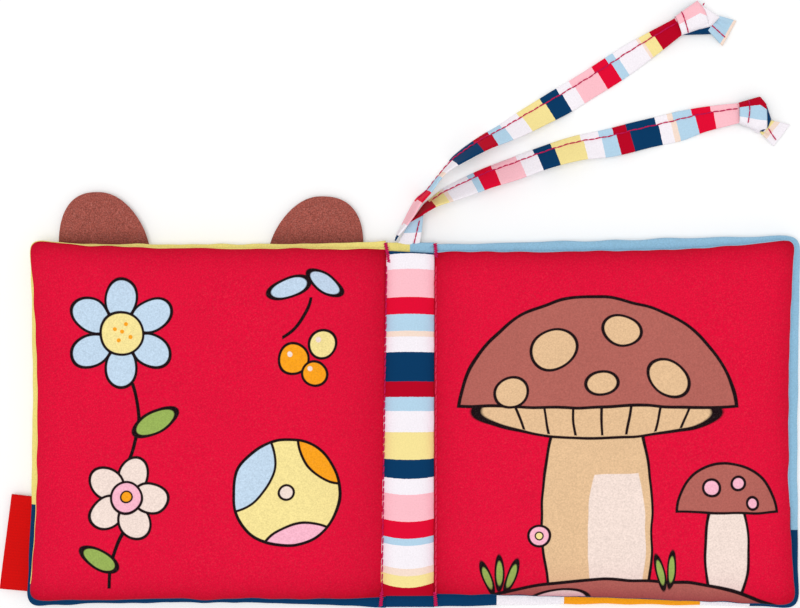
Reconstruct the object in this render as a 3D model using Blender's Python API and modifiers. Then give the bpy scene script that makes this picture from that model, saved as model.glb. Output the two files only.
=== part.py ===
# Crinkle cloth book, lying open at its centre spread.
# Two padded sheets, an inner page sheet on a cover sheet, are sewn together along both sides of a
# striped spine strip, which makes four leaves. Every leaf is a front and a back fabric panel with
# wadding and a crinkle film between them. Metres, +Z up, +X to the right page, +Y to the head.

import math

import bmesh
import bpy
from mathutils import Matrix, Vector

# Fabric, padding and the gaps that keep neighbours apart
fabric = 0.0004
film = 0.0002
layer_gap = 0.0003
leaf_thickness = 0.0052
page_crown = 0.0005
wadding_inset = 0.0025
wadding_start = 0.012

# Seams: how thin a sewn edge is, and how far the padding takes to swell up from it
pinch = 2 * fabric + layer_gap
channel_half = 0.0005
ramp_length = 0.030
corner_radius = 0.009
corner_power = 3.5
ramp_shares = (0.0, 0.2, 0.4, 0.6, 0.8, 1.0)
roll_shares = (0.0, 0.13, 0.35, 0.65, 1.0)
field_shares = (0.25, 0.5, 0.75)
flat_shares = (0.34, 0.67)
least_step = 0.0006

# Spine, between its two stitch lines
spine_width = 0.020
spine_crown = 0.0008
spine_wadding_width = 0.009
spine_wadding_thickness = 0.00025
spine_wadding_inset = 0.008
strip_column_shares = (-1, -0.75, -0.4, 0, 0.4, 0.75, 1)
strip_end_shares = (0, 0.4, 1)
page_height = 0.1466
cover_height = 0.1520

# Leaves: width from the stitch line, how much shorter than the spine's sheet a leaf starts, growth of
# its half height toward the corners and how far the fore edge is drawn in at its middle
page_left_width = 0.1500
page_left_flare = 0.0018
page_left_bow = 0.0037
page_right_width = 0.1517
page_right_shortfall = 0.0022
page_right_flare = 0.0046
page_right_bow = 0.0031
cover_left_width = 0.1505
cover_left_bow = 0.0020
cover_right_width = 0.1542
cover_right_shortfall = 0.0005
cover_right_flare = 0.0024
cover_right_bow = 0.0008

# Seam threads and bar tacks
thread_diameter = 0.0005
stitch_pitch = 0.003
bar_tack_length = 0.009
bar_tack_width = 0.0005
bar_tack_proud = 0.0002
bar_tack_clearance = 0.0006

# Ears, sewn in the head seam of the left cover
ear_width = 0.0372
ear_height = 0.0200
ear_layer = 0.0005
ear_root_gap = 0.0004
ear_axis_inset = 0.0005
ear_left_centre = 0.1290
ear_right_centre = 0.0383
ear_steep_share = 0.30
ear_steps = 16
ear_roundness = 0.85

# Side label, a folded tape sewn in the fore edge of the left cover
label_foot = 0.0070
label_height = 0.0395
label_reach_low = 0.0110
label_reach_high = 0.0078
label_thickness = 0.0009

# Ties: one striped ribbon folded in half, held by a tab in the head seam of the spine
ribbon_width = 0.0110
ribbon_thickness = 0.0012
tab_left = -0.0048
tab_right = 0.0039
tab_tip_left = 0.0001
tab_tip_right = 0.0050
tab_length = 0.0092
tab_thickness = 0.0012
floor_clearance = 0.0002
knot_flat = 0.0005
knot_gap = 0.0003
tail_shares = (0, 0.5, 1)
upper_knot_size = (0.0158, 0.0138, 0.0080)
lower_knot_size = (0.0128, 0.0152, 0.0080)
upper_tail_length = 0.0085
lower_tail_length = 0.0080
tail_drop = 0.0026

# Routes of the ties, from the tab to the knot: x and y from the middle of the spine, the height of
# the ribbon's middle and its tilt from flat in degrees
upper_route = (
    (-0.0062, 0.0767, 0.0062, 87),
    (-0.0048, 0.0798, 0.0063, 80),
    (-0.0024, 0.0832, 0.0065, 76),
    (0.0006, 0.0881, 0.0066, 72),
    (0.0035, 0.0931, 0.0066, 72),
    (0.0075, 0.0971, 0.0066, 76),
    (0.0124, 0.1034, 0.0063, 80),
    (0.0162, 0.1076, 0.0061, 74),
    (0.0212, 0.1117, 0.0058, 64),
    (0.0315, 0.1181, 0.0052, 53),
    (0.0406, 0.1225, 0.0045, 42),
    (0.0541, 0.1301, 0.0026, 18),
    (0.0665, 0.1372, 0.0009, 0),
    (0.0834, 0.1477, 0.0008, 0),
    (0.0955, 0.1557, 0.0012, 0),
    (0.1129, 0.1670, 0.0030, 0),
)
lower_route = (
    (0.0024, 0.0866, 0.0058, 76),
    (0.0045, 0.0885, 0.0058, 72),
    (0.0074, 0.0911, 0.0058, 67),
    (0.0105, 0.0931, 0.0057, 64),
    (0.0148, 0.0955, 0.0053, 52),
    (0.0200, 0.0978, 0.0048, 45),
    (0.0324, 0.1031, 0.0041, 36),
    (0.0438, 0.1070, 0.0038, 34),
    (0.0573, 0.1120, 0.0036, 31),
    (0.0708, 0.1159, 0.0030, 24),
    (0.0844, 0.1182, 0.0018, 9),
    (0.0992, 0.1219, 0.0009, 2),
    (0.1127, 0.1250, 0.0008, 0),
    (0.1240, 0.1281, 0.0014, 0),
    (0.1379, 0.1306, 0.0028, 0),
)
route_steps = 2
knot_turns = {"upper": -42, "lower": -6}
tail_turns = {"upper": -74, "lower": -58}
knot_square_share = 0.72

# Heights of the layers above the table
edge_roll = corner_radius
interface = leaf_thickness + layer_gap / 2
page_back = interface + layer_gap / 2
cover_front = interface - layer_gap / 2
page_hinge_height = page_back + pinch
cover_hinge_height = cover_front - pinch
seam_height = leaf_thickness / 2
tab_height = cover_front - pinch / 2
stitch_x = spine_width / 2
strip_half = stitch_x - channel_half

# The frame's origin: under the middle of the book's bounding box, ties left out
reach_left = stitch_x + cover_left_width + label_reach_low
reach_right = stitch_x + cover_right_width
reach_head = cover_height / 2 + ear_root_gap + ear_height
reach_tail = (cover_height - cover_right_shortfall) / 2 + cover_right_flare
frame_x = (reach_left - reach_right) / 2
frame_y = (reach_tail - reach_head) / 2

# Colours, red green blue of 255
ear_brown = (163, 87, 77)
cover_yellow = (230, 213, 127)
page_red = (226, 17, 58)
sky_blue = (143, 185, 210)
navy = (7, 58, 97)
label_red = (205, 15, 10)
wadding_white = (238, 236, 230)
film_clear = (214, 222, 226)
stripe_pink = (247, 187, 196)
stripe_crimson = (181, 5, 38)
stripe_white = (235, 222, 228)
thread_magenta = (176, 0, 72)

leaves = {
    "page_left": {
        "side": -1, "page": True, "width": page_left_width, "height": page_height,
        "flare": page_left_flare, "bow": page_left_bow,
        "front": "page_left_front_panel", "back": "page_left_back_panel",
        "front_colour": page_red, "back_colour": cover_yellow,
    },
    "page_right": {
        "side": 1, "page": True, "width": page_right_width,
        "height": page_height - page_right_shortfall, "flare": page_right_flare, "bow": page_right_bow,
        "front": "page_right_front_panel", "back": "page_right_back_panel",
        "front_colour": page_red, "back_colour": sky_blue,
    },
    "cover_left": {
        "side": -1, "page": False, "width": cover_left_width, "height": cover_height,
        "flare": 0, "bow": cover_left_bow,
        "front": "cover_left_lining_panel", "back": "cover_left_outer_panel",
        "front_colour": cover_yellow, "back_colour": cover_yellow,
    },
    "cover_right": {
        "side": 1, "page": False, "width": cover_right_width,
        "height": cover_height - cover_right_shortfall, "flare": cover_right_flare, "bow": cover_right_bow,
        "front": "cover_right_lining_panel", "back": "cover_right_outer_panel",
        "front_colour": sky_blue, "back_colour": sky_blue,
    },
}


# Scene helpers

def clear_scene():
    for thing in list(bpy.data.objects):
        bpy.data.objects.remove(thing, do_unlink=True)


def new_collection(name):
    collection = bpy.data.collections.new(name)
    bpy.context.scene.collection.children.link(collection)
    return collection


# One colour channel of 255 as the linear light that a shader takes
def linear(channel):
    share = channel / 255
    return share / 12.92 if share <= 0.04045 else ((share + 0.055) / 1.055) ** 2.4


def paint(thing, colour, roughness=0.85):
    material = bpy.data.materials.new(thing.name)
    material.use_nodes = True
    shader = material.node_tree.nodes["Principled BSDF"]
    shader.inputs["Base Color"].default_value = (*(linear(channel) for channel in colour), 1)
    shader.inputs["Roughness"].default_value = roughness
    shader.inputs["Metallic"].default_value = 0
    thing.data.materials.clear()
    thing.data.materials.append(material)


def add_empty(name, location, parent):
    hinge = bpy.data.objects.new(name, None)
    book.objects.link(hinge)
    hinge.parent = parent
    hinge.location = location
    hinge.empty_display_size = leaf_thickness
    return hinge


def add_object(name, data, parent, colour, roughness=0.85):
    thing = bpy.data.objects.new(name, data)
    book.objects.link(thing)
    thing.parent = parent
    paint(thing, colour, roughness)
    return thing


def shade(thing, angle=0.7):
    thing.data.shade_smooth()
    thing.data.set_sharp_from_angle(angle=angle)


# Meshes on a grid of stations

# An open grid whose corner of column i and row j is placed by place(column, row)
def grid_bmesh(columns, rows, place):
    bm = bmesh.new()
    across, along = len(columns) - 1, len(rows) - 1
    bmesh.ops.create_grid(bm, x_segments=across, y_segments=along, size=1)
    for vert in bm.verts:
        i = round((vert.co.x + 1) / 2 * across)
        j = round((vert.co.y + 1) / 2 * along)
        vert.co = place(columns[i], rows[j])
    return bm


def bmesh_to_data(bm, name):
    data = bpy.data.meshes.new(name)
    bm.to_mesh(data)
    bm.free()
    return data


# A cloth panel: its outer surface is placed by place, and its thickness grows inward. Growth is -1
# for a panel that faces up and 1 for one that faces down.
def cloth_panel(name, columns, rows, place, growth, parent, colour):
    data = bmesh_to_data(grid_bmesh(columns, rows, place), name)
    panel = add_object(name, data, parent, colour)
    solidify = panel.modifiers.new("Fabric", "SOLIDIFY")
    solidify.thickness = fabric
    solidify.offset = growth
    solidify.use_rim = True
    shade(panel)
    return panel


# A pad: the same grid twice, one for its top and one for its underside, closed round the rim
def closed_pad(name, columns, rows, top, bottom, parent, colour):
    bm = grid_bmesh(columns, rows, top)
    places = {}
    for column in columns:
        for row in rows:
            places[tuple(round(c, 7) for c in top(column, row))] = bottom(column, row)
    upper = list(bm.faces)
    made = bmesh.ops.extrude_face_region(bm, geom=upper, use_keep_orig=True)
    for vert in (thing for thing in made["geom"] if isinstance(thing, bmesh.types.BMVert)):
        vert.co = places[tuple(round(c, 7) for c in vert.co)]
    bmesh.ops.recalc_face_normals(bm, faces=bm.faces)
    pad = add_object(name, bmesh_to_data(bm, name), parent, colour)
    shade(pad)
    return pad


# Shape of a leaf. A place in it is s, outward from the stitch line, and y, along the spine.

def smooth_step(share):
    share = min(max(share, 0), 1)
    return share * share * (3 - 2 * share)


# Half of the thickness that the padding has at s, away from the free edges
def padded_half(s):
    share = (s - channel_half) / (ramp_length - channel_half)
    return pinch / 2 + (leaf_thickness - pinch) / 2 * smooth_step(share)


def corner_offsets(leaf, s, y):
    return s - (leaf["width"] - corner_radius), abs(y) - (leaf["height"] / 2 - corner_radius)


# How far out a place lies between the middle of a corner's rounding and its blunt round outline
def corner_reach(out, up):
    return (out ** corner_power + up ** corner_power) ** (1 / corner_power)


# The square corner of the grid drawn onto the blunt round corner of the leaf
def round_corner(leaf, s, y, inset):
    out, up = corner_offsets(leaf, s, y)
    if out <= 0 or up <= 0:
        return s, y
    radius = corner_radius - inset
    a, b = out / radius, up / radius
    pulled_s = s - out + radius * a * (1 - b ** corner_power / 2) ** (1 / corner_power)
    pulled_y = abs(y) - up + radius * b * (1 - a ** corner_power / 2) ** (1 / corner_power)
    return pulled_s, math.copysign(pulled_y, y)


# Half thickness at a place: full in the field, thin at the stitch line and round at free edges
def leaf_half(leaf, s, y):
    out, up = corner_offsets(leaf, s, y)
    past = corner_reach(out, up) if out > 0 and up > 0 else max(out, up)
    reach = min(max(1 - past / edge_roll, 0), 1)
    swell = math.sqrt(1 - (1 - reach) ** 2)
    return pinch / 2 + (padded_half(s) - pinch / 2) * swell


def leaf_middle(leaf, s):
    return page_back + padded_half(s) if leaf["page"] else cover_front - padded_half(s)


# The fore edge is drawn in at its middle, and head and tail flare toward the corners
def leaf_plan(leaf, s, y):
    share, side_share = s / leaf["width"], y / (leaf["height"] / 2)
    drawn_in = leaf["bow"] * (1 - side_share ** 2) * share ** 2
    return leaf["side"] * (s - drawn_in), y + leaf["flare"] * side_share * share ** 3


def leaf_crown(leaf, s, y):
    if not leaf["page"]:
        return 0
    along = 1 - (y / (leaf["height"] / 2)) ** 2
    across = smooth_step(s / ramp_length) * smooth_step((leaf["width"] - s) / ramp_length)
    return page_crown * max(along, 0) * across


# Stations across and along a leaf, closest at the stitch line and at the free edges
def leaf_stations(leaf, start, inset):
    half, end = leaf["height"] / 2, leaf["width"]
    roll_in = [end - edge_roll * (1 - share) for share in roll_shares]
    ramp = [channel_half + share * (ramp_length - channel_half) for share in ramp_shares]
    field = [ramp[-1] + share * (end - edge_roll - ramp[-1]) for share in flat_shares]
    across = ramp + field + [end - (c - roll_in[0]) for c in reversed(roll_in)]
    lower = [-half + edge_roll * share for share in roll_shares]
    field = [lower[-1] * (1 - 2 * share) for share in field_shares]
    along = lower + field + [-y for y in reversed(lower)]
    return within(across, start, end - inset), within(along, inset - half, half - inset)


# The stations that lie between two ends, with the ends themselves
def within(stations, first, last):
    kept = [c for c in stations if first + least_step < c < last - least_step]
    return [first] + kept + [last]


def leaf_surface(leaf, inset, height):
    def place(column, row):
        s, y = column * leaf["side"], row
        s, y = round_corner(leaf, s, y, inset)
        x, along = leaf_plan(leaf, s, y)
        return Vector((x, along, leaf_middle(leaf, s) - leaf["hinge_height"] + height(s, y)))
    return place


# A leaf's grid runs from low x to high x, so the left leaf's stations are taken backward
def signed(stations, side):
    return stations if side > 0 else [-c for c in reversed(stations)]


def build_leaf(name, leaf, hinge):
    leaf["hinge_height"] = page_hinge_height if leaf["page"] else cover_hinge_height
    side = leaf["side"]
    across, along = leaf_stations(leaf, channel_half, 0)
    columns = signed(across, side)
    front = leaf_surface(leaf, 0, lambda s, y: leaf_half(leaf, s, y) + leaf_crown(leaf, s, y))
    back = leaf_surface(leaf, 0, lambda s, y: -leaf_half(leaf, s, y))
    cloth_panel(leaf["front"], columns, along, front, -1, hinge, leaf["front_colour"])
    cloth_panel(leaf["back"], columns, along, back, 1, hinge, leaf["back_colour"])
    build_wadding(name, leaf, hinge)
    build_film(name, leaf, hinge)


def build_wadding(name, leaf, hinge):
    above = fabric + layer_gap
    below = fabric + film + 2 * layer_gap
    across, along = leaf_stations(leaf, wadding_start, wadding_inset)
    top = leaf_surface(leaf, wadding_inset,
                       lambda s, y: leaf_half(leaf, s, y) + leaf_crown(leaf, s, y) - above)
    bottom = leaf_surface(leaf, wadding_inset, lambda s, y: below - leaf_half(leaf, s, y))
    columns = signed(across, leaf["side"])
    closed_pad(f"{name}_wadding", columns, along, top, bottom, hinge, wadding_white)


# The film is a flat sheet over the back panel, inside the edge's roll
def build_film(name, leaf, hinge):
    inner, outer = ramp_length, leaf["width"] - edge_roll - leaf["bow"]
    half = leaf["height"] / 2 - edge_roll
    back = page_back if leaf["page"] else 0
    height = back + fabric + layer_gap + film / 2 - leaf["hinge_height"]
    centre = Vector((leaf["side"] * (inner + outer) / 2, 0, height))
    size = (outer - inner, 2 * half, film)
    add_box(f"{name}_crinkle_film", centre, size, hinge, film_clear, 0, 0.3)


def add_box(name, centre, size, parent, colour, bevel=0, roughness=0.85):
    bm = bmesh.new()
    bmesh.ops.create_cube(bm, size=1)
    bmesh.ops.scale(bm, vec=size, verts=bm.verts)
    box = add_object(name, bmesh_to_data(bm, name), parent, colour, roughness)
    box.location = centre
    if bevel:
        rounding = box.modifiers.new("Edges", "BEVEL")
        rounding.width = bevel
        rounding.segments = 1
    return box


# Spine: the striped strip and its backing above, the cover's two fabrics below

def strip_stations(height):
    half = height / 2
    ends = [-half + edge_roll * share for share in strip_end_shares]
    return ends + [-y for y in reversed(ends)]


def spine_swell(x, y, height):
    along = min((height / 2 - abs(y)) / edge_roll, 1)
    return spine_crown * (1 - (x / strip_half) ** 2) * math.sqrt(1 - (1 - along) ** 2)


def build_spine_sheet(height, flat, outward, names, colours, parent):
    columns = [strip_half * share for share in strip_column_shares]
    rows = strip_stations(height)

    def crowned(x, y):
        return Vector((x, y, flat + outward * (pinch + spine_swell(x, y, height))))

    def plain(x, y):
        return Vector((x, y, flat))

    cloth_panel(names[0], columns, rows, crowned, -outward, parent, colours[0])
    cloth_panel(names[1], columns, rows, plain, outward, parent, colours[1])
    inset = fabric + layer_gap + spine_wadding_thickness / 2
    size = (spine_wadding_width, height - 2 * spine_wadding_inset, spine_wadding_thickness)
    centre = Vector((0, 0, flat + outward * inset))
    add_box(names[2], centre, size, parent, wadding_white)


# Seam thread: it runs up and down through the pinched sheets, one turn per stitch
def build_seam_thread(name, x, parent):
    reach = cover_height / 2 - bar_tack_length - bar_tack_clearance
    count = 2 * round(2 * reach / stitch_pitch)
    curve = bpy.data.curves.new(name, "CURVE")
    curve.dimensions = "3D"
    curve.bevel_depth = thread_diameter / 2
    curve.bevel_resolution = 0
    curve.use_fill_caps = True
    spline = curve.splines.new("POLY")
    spline.points.add(count)
    for index, point in enumerate(spline.points):
        height = page_hinge_height if index % 2 else cover_hinge_height
        point.co = (x, -reach + 2 * reach * index / count, height, 1)
    add_object(name, curve, parent, thread_magenta, 0.6)


def build_bar_tacks(parent):
    tall = page_hinge_height - cover_hinge_height + 2 * bar_tack_proud
    size = (bar_tack_width, bar_tack_length, tall)
    for side_name, side in (("left", -1), ("right", 1)):
        for end_name, end in (("head", 1), ("tail", -1)):
            middle = end * (cover_height - bar_tack_length) / 2
            centre = Vector((side * stitch_x, middle, interface))
            name = f"{side_name}_{end_name}_bar_tack"
            add_box(name, centre, size, parent, thread_magenta)


# Ears: a front and a back piece, half round, steeper on the outer side

def ear_outline(outer_side):
    half = ear_width / 2
    shift = outer_side * half * ear_steep_share
    points = []
    for step in range(ear_steps + 1):
        angle = math.pi * step / ear_steps
        x = half * math.cos(angle)
        lean = shift * math.sin(angle) ** 2
        points.append((x + lean, ear_height * math.sin(angle) ** ear_roundness))
    return points


def flat_shape(name, points, thickness, parent, colour):
    curve = bpy.data.curves.new(name, "CURVE")
    curve.dimensions = "2D"
    curve.fill_mode = "BOTH"
    curve.extrude = thickness / 2
    spline = curve.splines.new("POLY")
    spline.points.add(len(points) - 1)
    for point, (x, y) in zip(spline.points, points):
        point.co = (x, y, 0, 1)
    spline.use_cyclic_u = True
    return add_object(name, curve, parent, colour)


def build_ear(name, centre_s, outer_side, cover_hinge):
    edge = cover_height / 2 + ear_root_gap
    height = seam_height - cover_hinge_height
    hinge = add_empty(f"{name}_hinge", Vector((-centre_s, edge + ear_axis_inset, height)), cover_hinge)
    points = [(x, y - ear_axis_inset) for x, y in ear_outline(outer_side)]
    lift = (layer_gap + ear_layer) / 2
    front = flat_shape(f"{name}_front", points, ear_layer, hinge, ear_brown)
    front.location.z = lift
    back = flat_shape(f"{name}_back", points, ear_layer, hinge, ear_brown)
    back.location.z = -lift


# Side label: its root follows the fore edge, its outer end is wider at the bottom

def fore_edge(leaf, y):
    out, up = corner_offsets(leaf, leaf["width"], y)
    depth = corner_radius ** corner_power - max(up, 0) ** corner_power
    rounded = corner_radius - depth ** (1 / corner_power)
    side_share = y / (leaf["height"] / 2)
    return leaf["width"] - rounded - leaf["bow"] * (1 - side_share ** 2)


def build_label(cover_hinge):
    leaf = leaves["cover_left"]
    foot = label_foot - leaf["height"] / 2
    top = foot + label_height
    low = Vector((-fore_edge(leaf, foot) - ear_root_gap, foot, 0))
    high = Vector((-fore_edge(leaf, top) - ear_root_gap, top, 0))
    height = seam_height - cover_hinge_height
    axis = (high - low).normalized()
    outward = Vector((-axis.y, axis.x, 0))
    root = low + outward * ear_axis_inset
    hinge = add_empty("side_label_hinge", root + Vector((0, 0, height)), cover_hinge)
    hinge.rotation_euler.z = math.atan2(axis.y, axis.x) - math.pi / 2
    span = (high - low).length
    points = [
        (ear_axis_inset, 0),
        (ear_axis_inset, span),
        (ear_axis_inset - label_reach_high, span),
        (ear_axis_inset - label_reach_low, 0),
    ]
    flat_shape("side_label", points, label_thickness, hinge, label_red)


# Ties

# Points of a smooth curve through the route's own points, with the tilt as a fourth value
def smooth_route(route):
    points = [Vector(place) for place in route]
    padded = [2 * points[0] - points[1]] + points + [2 * points[-1] - points[-2]]
    made = []
    for before, start, end, after in zip(padded, padded[1:], padded[2:], padded[3:]):
        for step in range(route_steps):
            t = step / route_steps
            made.append(0.5 * (2 * start + (end - before) * t
                               + (2 * before - 5 * start + 4 * end - after) * t ** 2
                               + (3 * start - before - 3 * end + after) * t ** 3))
    return made + [points[-1]]


def ribbon(name, places, parent, origin, colour):
    curve = bpy.data.curves.new(name, "CURVE")
    curve.dimensions = "3D"
    curve.twist_mode = "Z_UP"
    curve.bevel_depth = ribbon_thickness / 2
    curve.extrude = ribbon_width / 2 - curve.bevel_depth
    curve.bevel_resolution = 1
    curve.use_fill_caps = True
    spline = curve.splines.new("POLY")
    spline.points.add(len(places) - 1)
    for point, (x, y, z, tilt) in zip(spline.points, places):
        point.co = (x - origin.x, y - origin.y, z - origin.z, 1)
        point.tilt = math.radians(90 - tilt)
    return add_object(name, curve, parent, colour)


# One side of a rounded square: the sine or cosine of an angle, drawn out toward the corners
def squared(c):
    return math.copysign(abs(c) ** knot_square_share, c)


# A knot is a soft squarish lump, cut flat where it rests on the table
def build_knot(name, centre, size, turn, parent, origin, colour):
    bm = bmesh.new()
    bmesh.ops.create_uvsphere(bm, u_segments=16, v_segments=10, radius=1)
    for vert in bm.verts:
        vert.co = [squared(c) for c in vert.co]
    bmesh.ops.scale(bm, vec=[length / 2 for length in size], verts=bm.verts)
    bmesh.ops.rotate(bm, matrix=Matrix.Rotation(turn, 3, "Z"), verts=bm.verts)
    for vert in bm.verts:
        vert.co.z = max(vert.co.z, knot_flat - size[2] / 2)
    knot = add_object(name, bmesh_to_data(bm, name), parent, colour)
    knot.location = centre - origin
    shade(knot)
    return knot


def build_tie(name, route, knot_size, tail_length, spine, colours):
    origin = Vector(route[0][:3])
    hinge = add_empty(f"{name}_tie_hinge", origin, spine)
    ribbon(f"{name}_tie", smooth_route(route), hinge, origin, colours[0])
    end, before = Vector(route[-1][:3]), Vector(route[-2][:3])
    heading = end - before
    heading.z = 0
    heading.normalize()
    knot_turn, tail_turn = math.radians(knot_turns[name]), math.radians(tail_turns[name])
    reach = knot_reach(knot_size, knot_turn) + knot_gap
    centre = end + heading * reach
    centre.z = knot_size[2] / 2 - knot_flat
    turn = math.atan2(heading.y, heading.x) + knot_turn
    build_knot(f"{name}_tie_knot", centre, knot_size, turn, hinge, origin, colours[1])
    tail_way = Vector((*(Matrix.Rotation(tail_turn, 2) @ heading.xy), 0))
    away = knot_reach(knot_size, knot_turn - tail_turn) + knot_gap
    start = centre + tail_way * away
    level = ribbon_thickness / 2 + floor_clearance
    places = []
    for share in tail_shares:
        place = start + tail_way * tail_length * share
        places.append((place.x, place.y, level + tail_drop * (1 - share) ** 2, 0))
    ribbon(f"{name}_tie_tail", places, hinge, origin, colours[2])


# How far the knot's plan outline reaches along a way that is turned from its length
def knot_reach(size, turn):
    outline = 2 / knot_square_share
    power = outline / (outline - 1)
    along = abs(size[0] / 2 * math.cos(turn)) ** power
    across = abs(size[1] / 2 * math.sin(turn)) ** power
    return (along + across) ** (1 / power)


# Build

clear_scene()
book = new_collection("crinkle_cloth_book")
frame = add_empty("book_frame", Vector((frame_x, frame_y, 0)), None)
spine = add_empty("spine_frame", Vector((0, 0, 0)), frame)

build_spine_sheet(
    page_height, page_back, 1,
    ("spine_stripe_strip", "spine_strip_backing", "spine_wadding"),
    (stripe_pink, navy), spine)
build_spine_sheet(
    cover_height, cover_front, -1,
    ("cover_spine_outer", "cover_spine_lining", "cover_spine_wadding"),
    (sky_blue, cover_yellow), spine)
build_seam_thread("left_seam_thread", -stitch_x, spine)
build_seam_thread("right_seam_thread", stitch_x, spine)
build_bar_tacks(spine)

tab = flat_shape(
    "tie_root_tab",
    [(tab_left, 0), (tab_right, 0), (tab_tip_right, tab_length), (tab_tip_left, tab_length)],
    tab_thickness, spine, stripe_white)
tab.location = (0, cover_height / 2 + layer_gap, tab_height)

hinges = {}
for leaf_name in ("page_left", "page_right", "cover_left", "cover_right"):
    spec = leaves[leaf_name]
    page_name = leaf_name.replace("cover", "page")
    if spec["page"]:
        place, owner = Vector((spec["side"] * stitch_x, 0, page_hinge_height)), spine
    else:
        place, owner = Vector((0, 0, cover_hinge_height - page_hinge_height)), hinges[page_name]
    hinges[leaf_name] = add_empty(f"{leaf_name}_hinge", place, owner)
    build_leaf(leaf_name, spec, hinges[leaf_name])

build_ear("ear_left", ear_left_centre - stitch_x, -1, hinges["cover_left"])
build_ear("ear_right", ear_right_centre - stitch_x, 1, hinges["cover_left"])
build_label(hinges["cover_left"])

build_tie("upper", upper_route, upper_knot_size, upper_tail_length, spine,
          (stripe_pink, stripe_pink, sky_blue))
build_tie("lower", lower_route, lower_knot_size, lower_tail_length, spine,
          (stripe_white, stripe_crimson, stripe_white))
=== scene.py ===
import math
import bmesh
import bpy
import numpy as np
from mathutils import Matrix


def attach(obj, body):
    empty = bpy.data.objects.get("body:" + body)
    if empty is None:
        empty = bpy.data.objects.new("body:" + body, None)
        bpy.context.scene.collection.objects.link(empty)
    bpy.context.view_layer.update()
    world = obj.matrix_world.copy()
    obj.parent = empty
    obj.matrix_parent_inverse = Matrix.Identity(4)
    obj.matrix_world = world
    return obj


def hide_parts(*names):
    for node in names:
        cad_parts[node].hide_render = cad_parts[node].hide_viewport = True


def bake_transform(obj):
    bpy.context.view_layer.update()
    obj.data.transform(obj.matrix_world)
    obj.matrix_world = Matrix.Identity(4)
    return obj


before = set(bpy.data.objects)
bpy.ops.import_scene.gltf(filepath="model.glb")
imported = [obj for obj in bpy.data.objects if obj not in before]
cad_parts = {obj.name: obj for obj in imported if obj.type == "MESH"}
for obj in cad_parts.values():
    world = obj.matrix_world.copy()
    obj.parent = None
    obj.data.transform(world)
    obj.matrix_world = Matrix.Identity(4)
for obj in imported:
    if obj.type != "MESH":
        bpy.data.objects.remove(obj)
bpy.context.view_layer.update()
spineX, spineY = 0.00365, -0.009125  # middle of the spine, from which every leaf is measured
print("cloth book: frame loaded")


# A dye given as 0 to 255 a channel, turned to linear light: c / 12.92 when dark,
# else ((c + 0.055) / 1.055) ^ 2.4
def dye(red, green, blue):
    share = np.array([red, green, blue]) / 255
    light = np.where(share <= 0.04045, share / 12.92, ((share + 0.055) / 1.055) ** 2.4)
    return (*light.tolist(), 1.0)


dyes = {
    "pageRed": dye(225, 9, 55), "stripeRed": dye(226, 6, 50), "crimson": dye(184, 0, 34),
    "navy": dye(3, 56, 98), "pink": dye(253, 192, 202), "white": dye(247, 241, 247),
    "paleBlue": dye(180, 212, 233), "peach": dye(246, 222, 206), "lemon": dye(246, 227, 152),
    "coverYellow": dye(238, 221, 130), "coverBlue": dye(148, 192, 219), "earBrown": dye(156, 80, 70),
    "labelRed": dye(210, 4, 2), "magenta": dye(200, 0, 84), "paleThread": dye(234, 40, 84),
    "outline": dye(22, 6, 12),
    "brown": dye(178, 99, 90), "tan": dye(228, 190, 148), "cream": dye(242, 222, 212),
    "cheek": dye(250, 184, 204), "orange": dye(250, 162, 26), "wing": dye(194, 216, 236),
    "grass": dye(152, 178, 88), "batting": dye(240, 238, 232), "battingShade": dye(214, 210, 202),
    "film": dye(206, 216, 226), "filmPale": dye(232, 238, 244),
}


cameraSetup = {"across": -0.00054, "along": 0.0410, "height": 0.910, "lens": 96.7, "sensor": 36,
               "pictureWide": 800, "pictureTall": 608}
studio = {"skyStrength": 0.68, "lampPower": 1.12, "lampAngle": 44, "lampTilt": (4, -9), "floorShade": 0.88,
          "floorLift": 0.13, "floorHalf": 4, "floorDrop": 0.0003}


# A spot of the picture at a height above the table: one step of the picture is
# sensor / lens * (camera height - height) / picture width, counted from the picture's middle under the camera
def spot(across, down, height=0.0):
    c = cameraSetup
    step = c["sensor"] / c["lens"] * (c["height"] - height) / c["pictureWide"]
    return np.array([c["across"] + (across - c["pictureWide"] / 2) * step,
                     c["along"] - (down - c["pictureTall"] / 2) * step, height])


cameraData = bpy.data.cameras.new("bookCamera")
cameraData.lens = cameraSetup["lens"]
cameraData.sensor_width = cameraSetup["sensor"]
camera = bpy.data.objects.new("bookCamera", cameraData)
camera.location = (cameraSetup["across"], cameraSetup["along"], cameraSetup["height"])
bpy.context.scene.collection.objects.link(camera)
bpy.context.scene.camera = camera
bpy.context.scene.view_settings.view_transform = "Standard"


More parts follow.
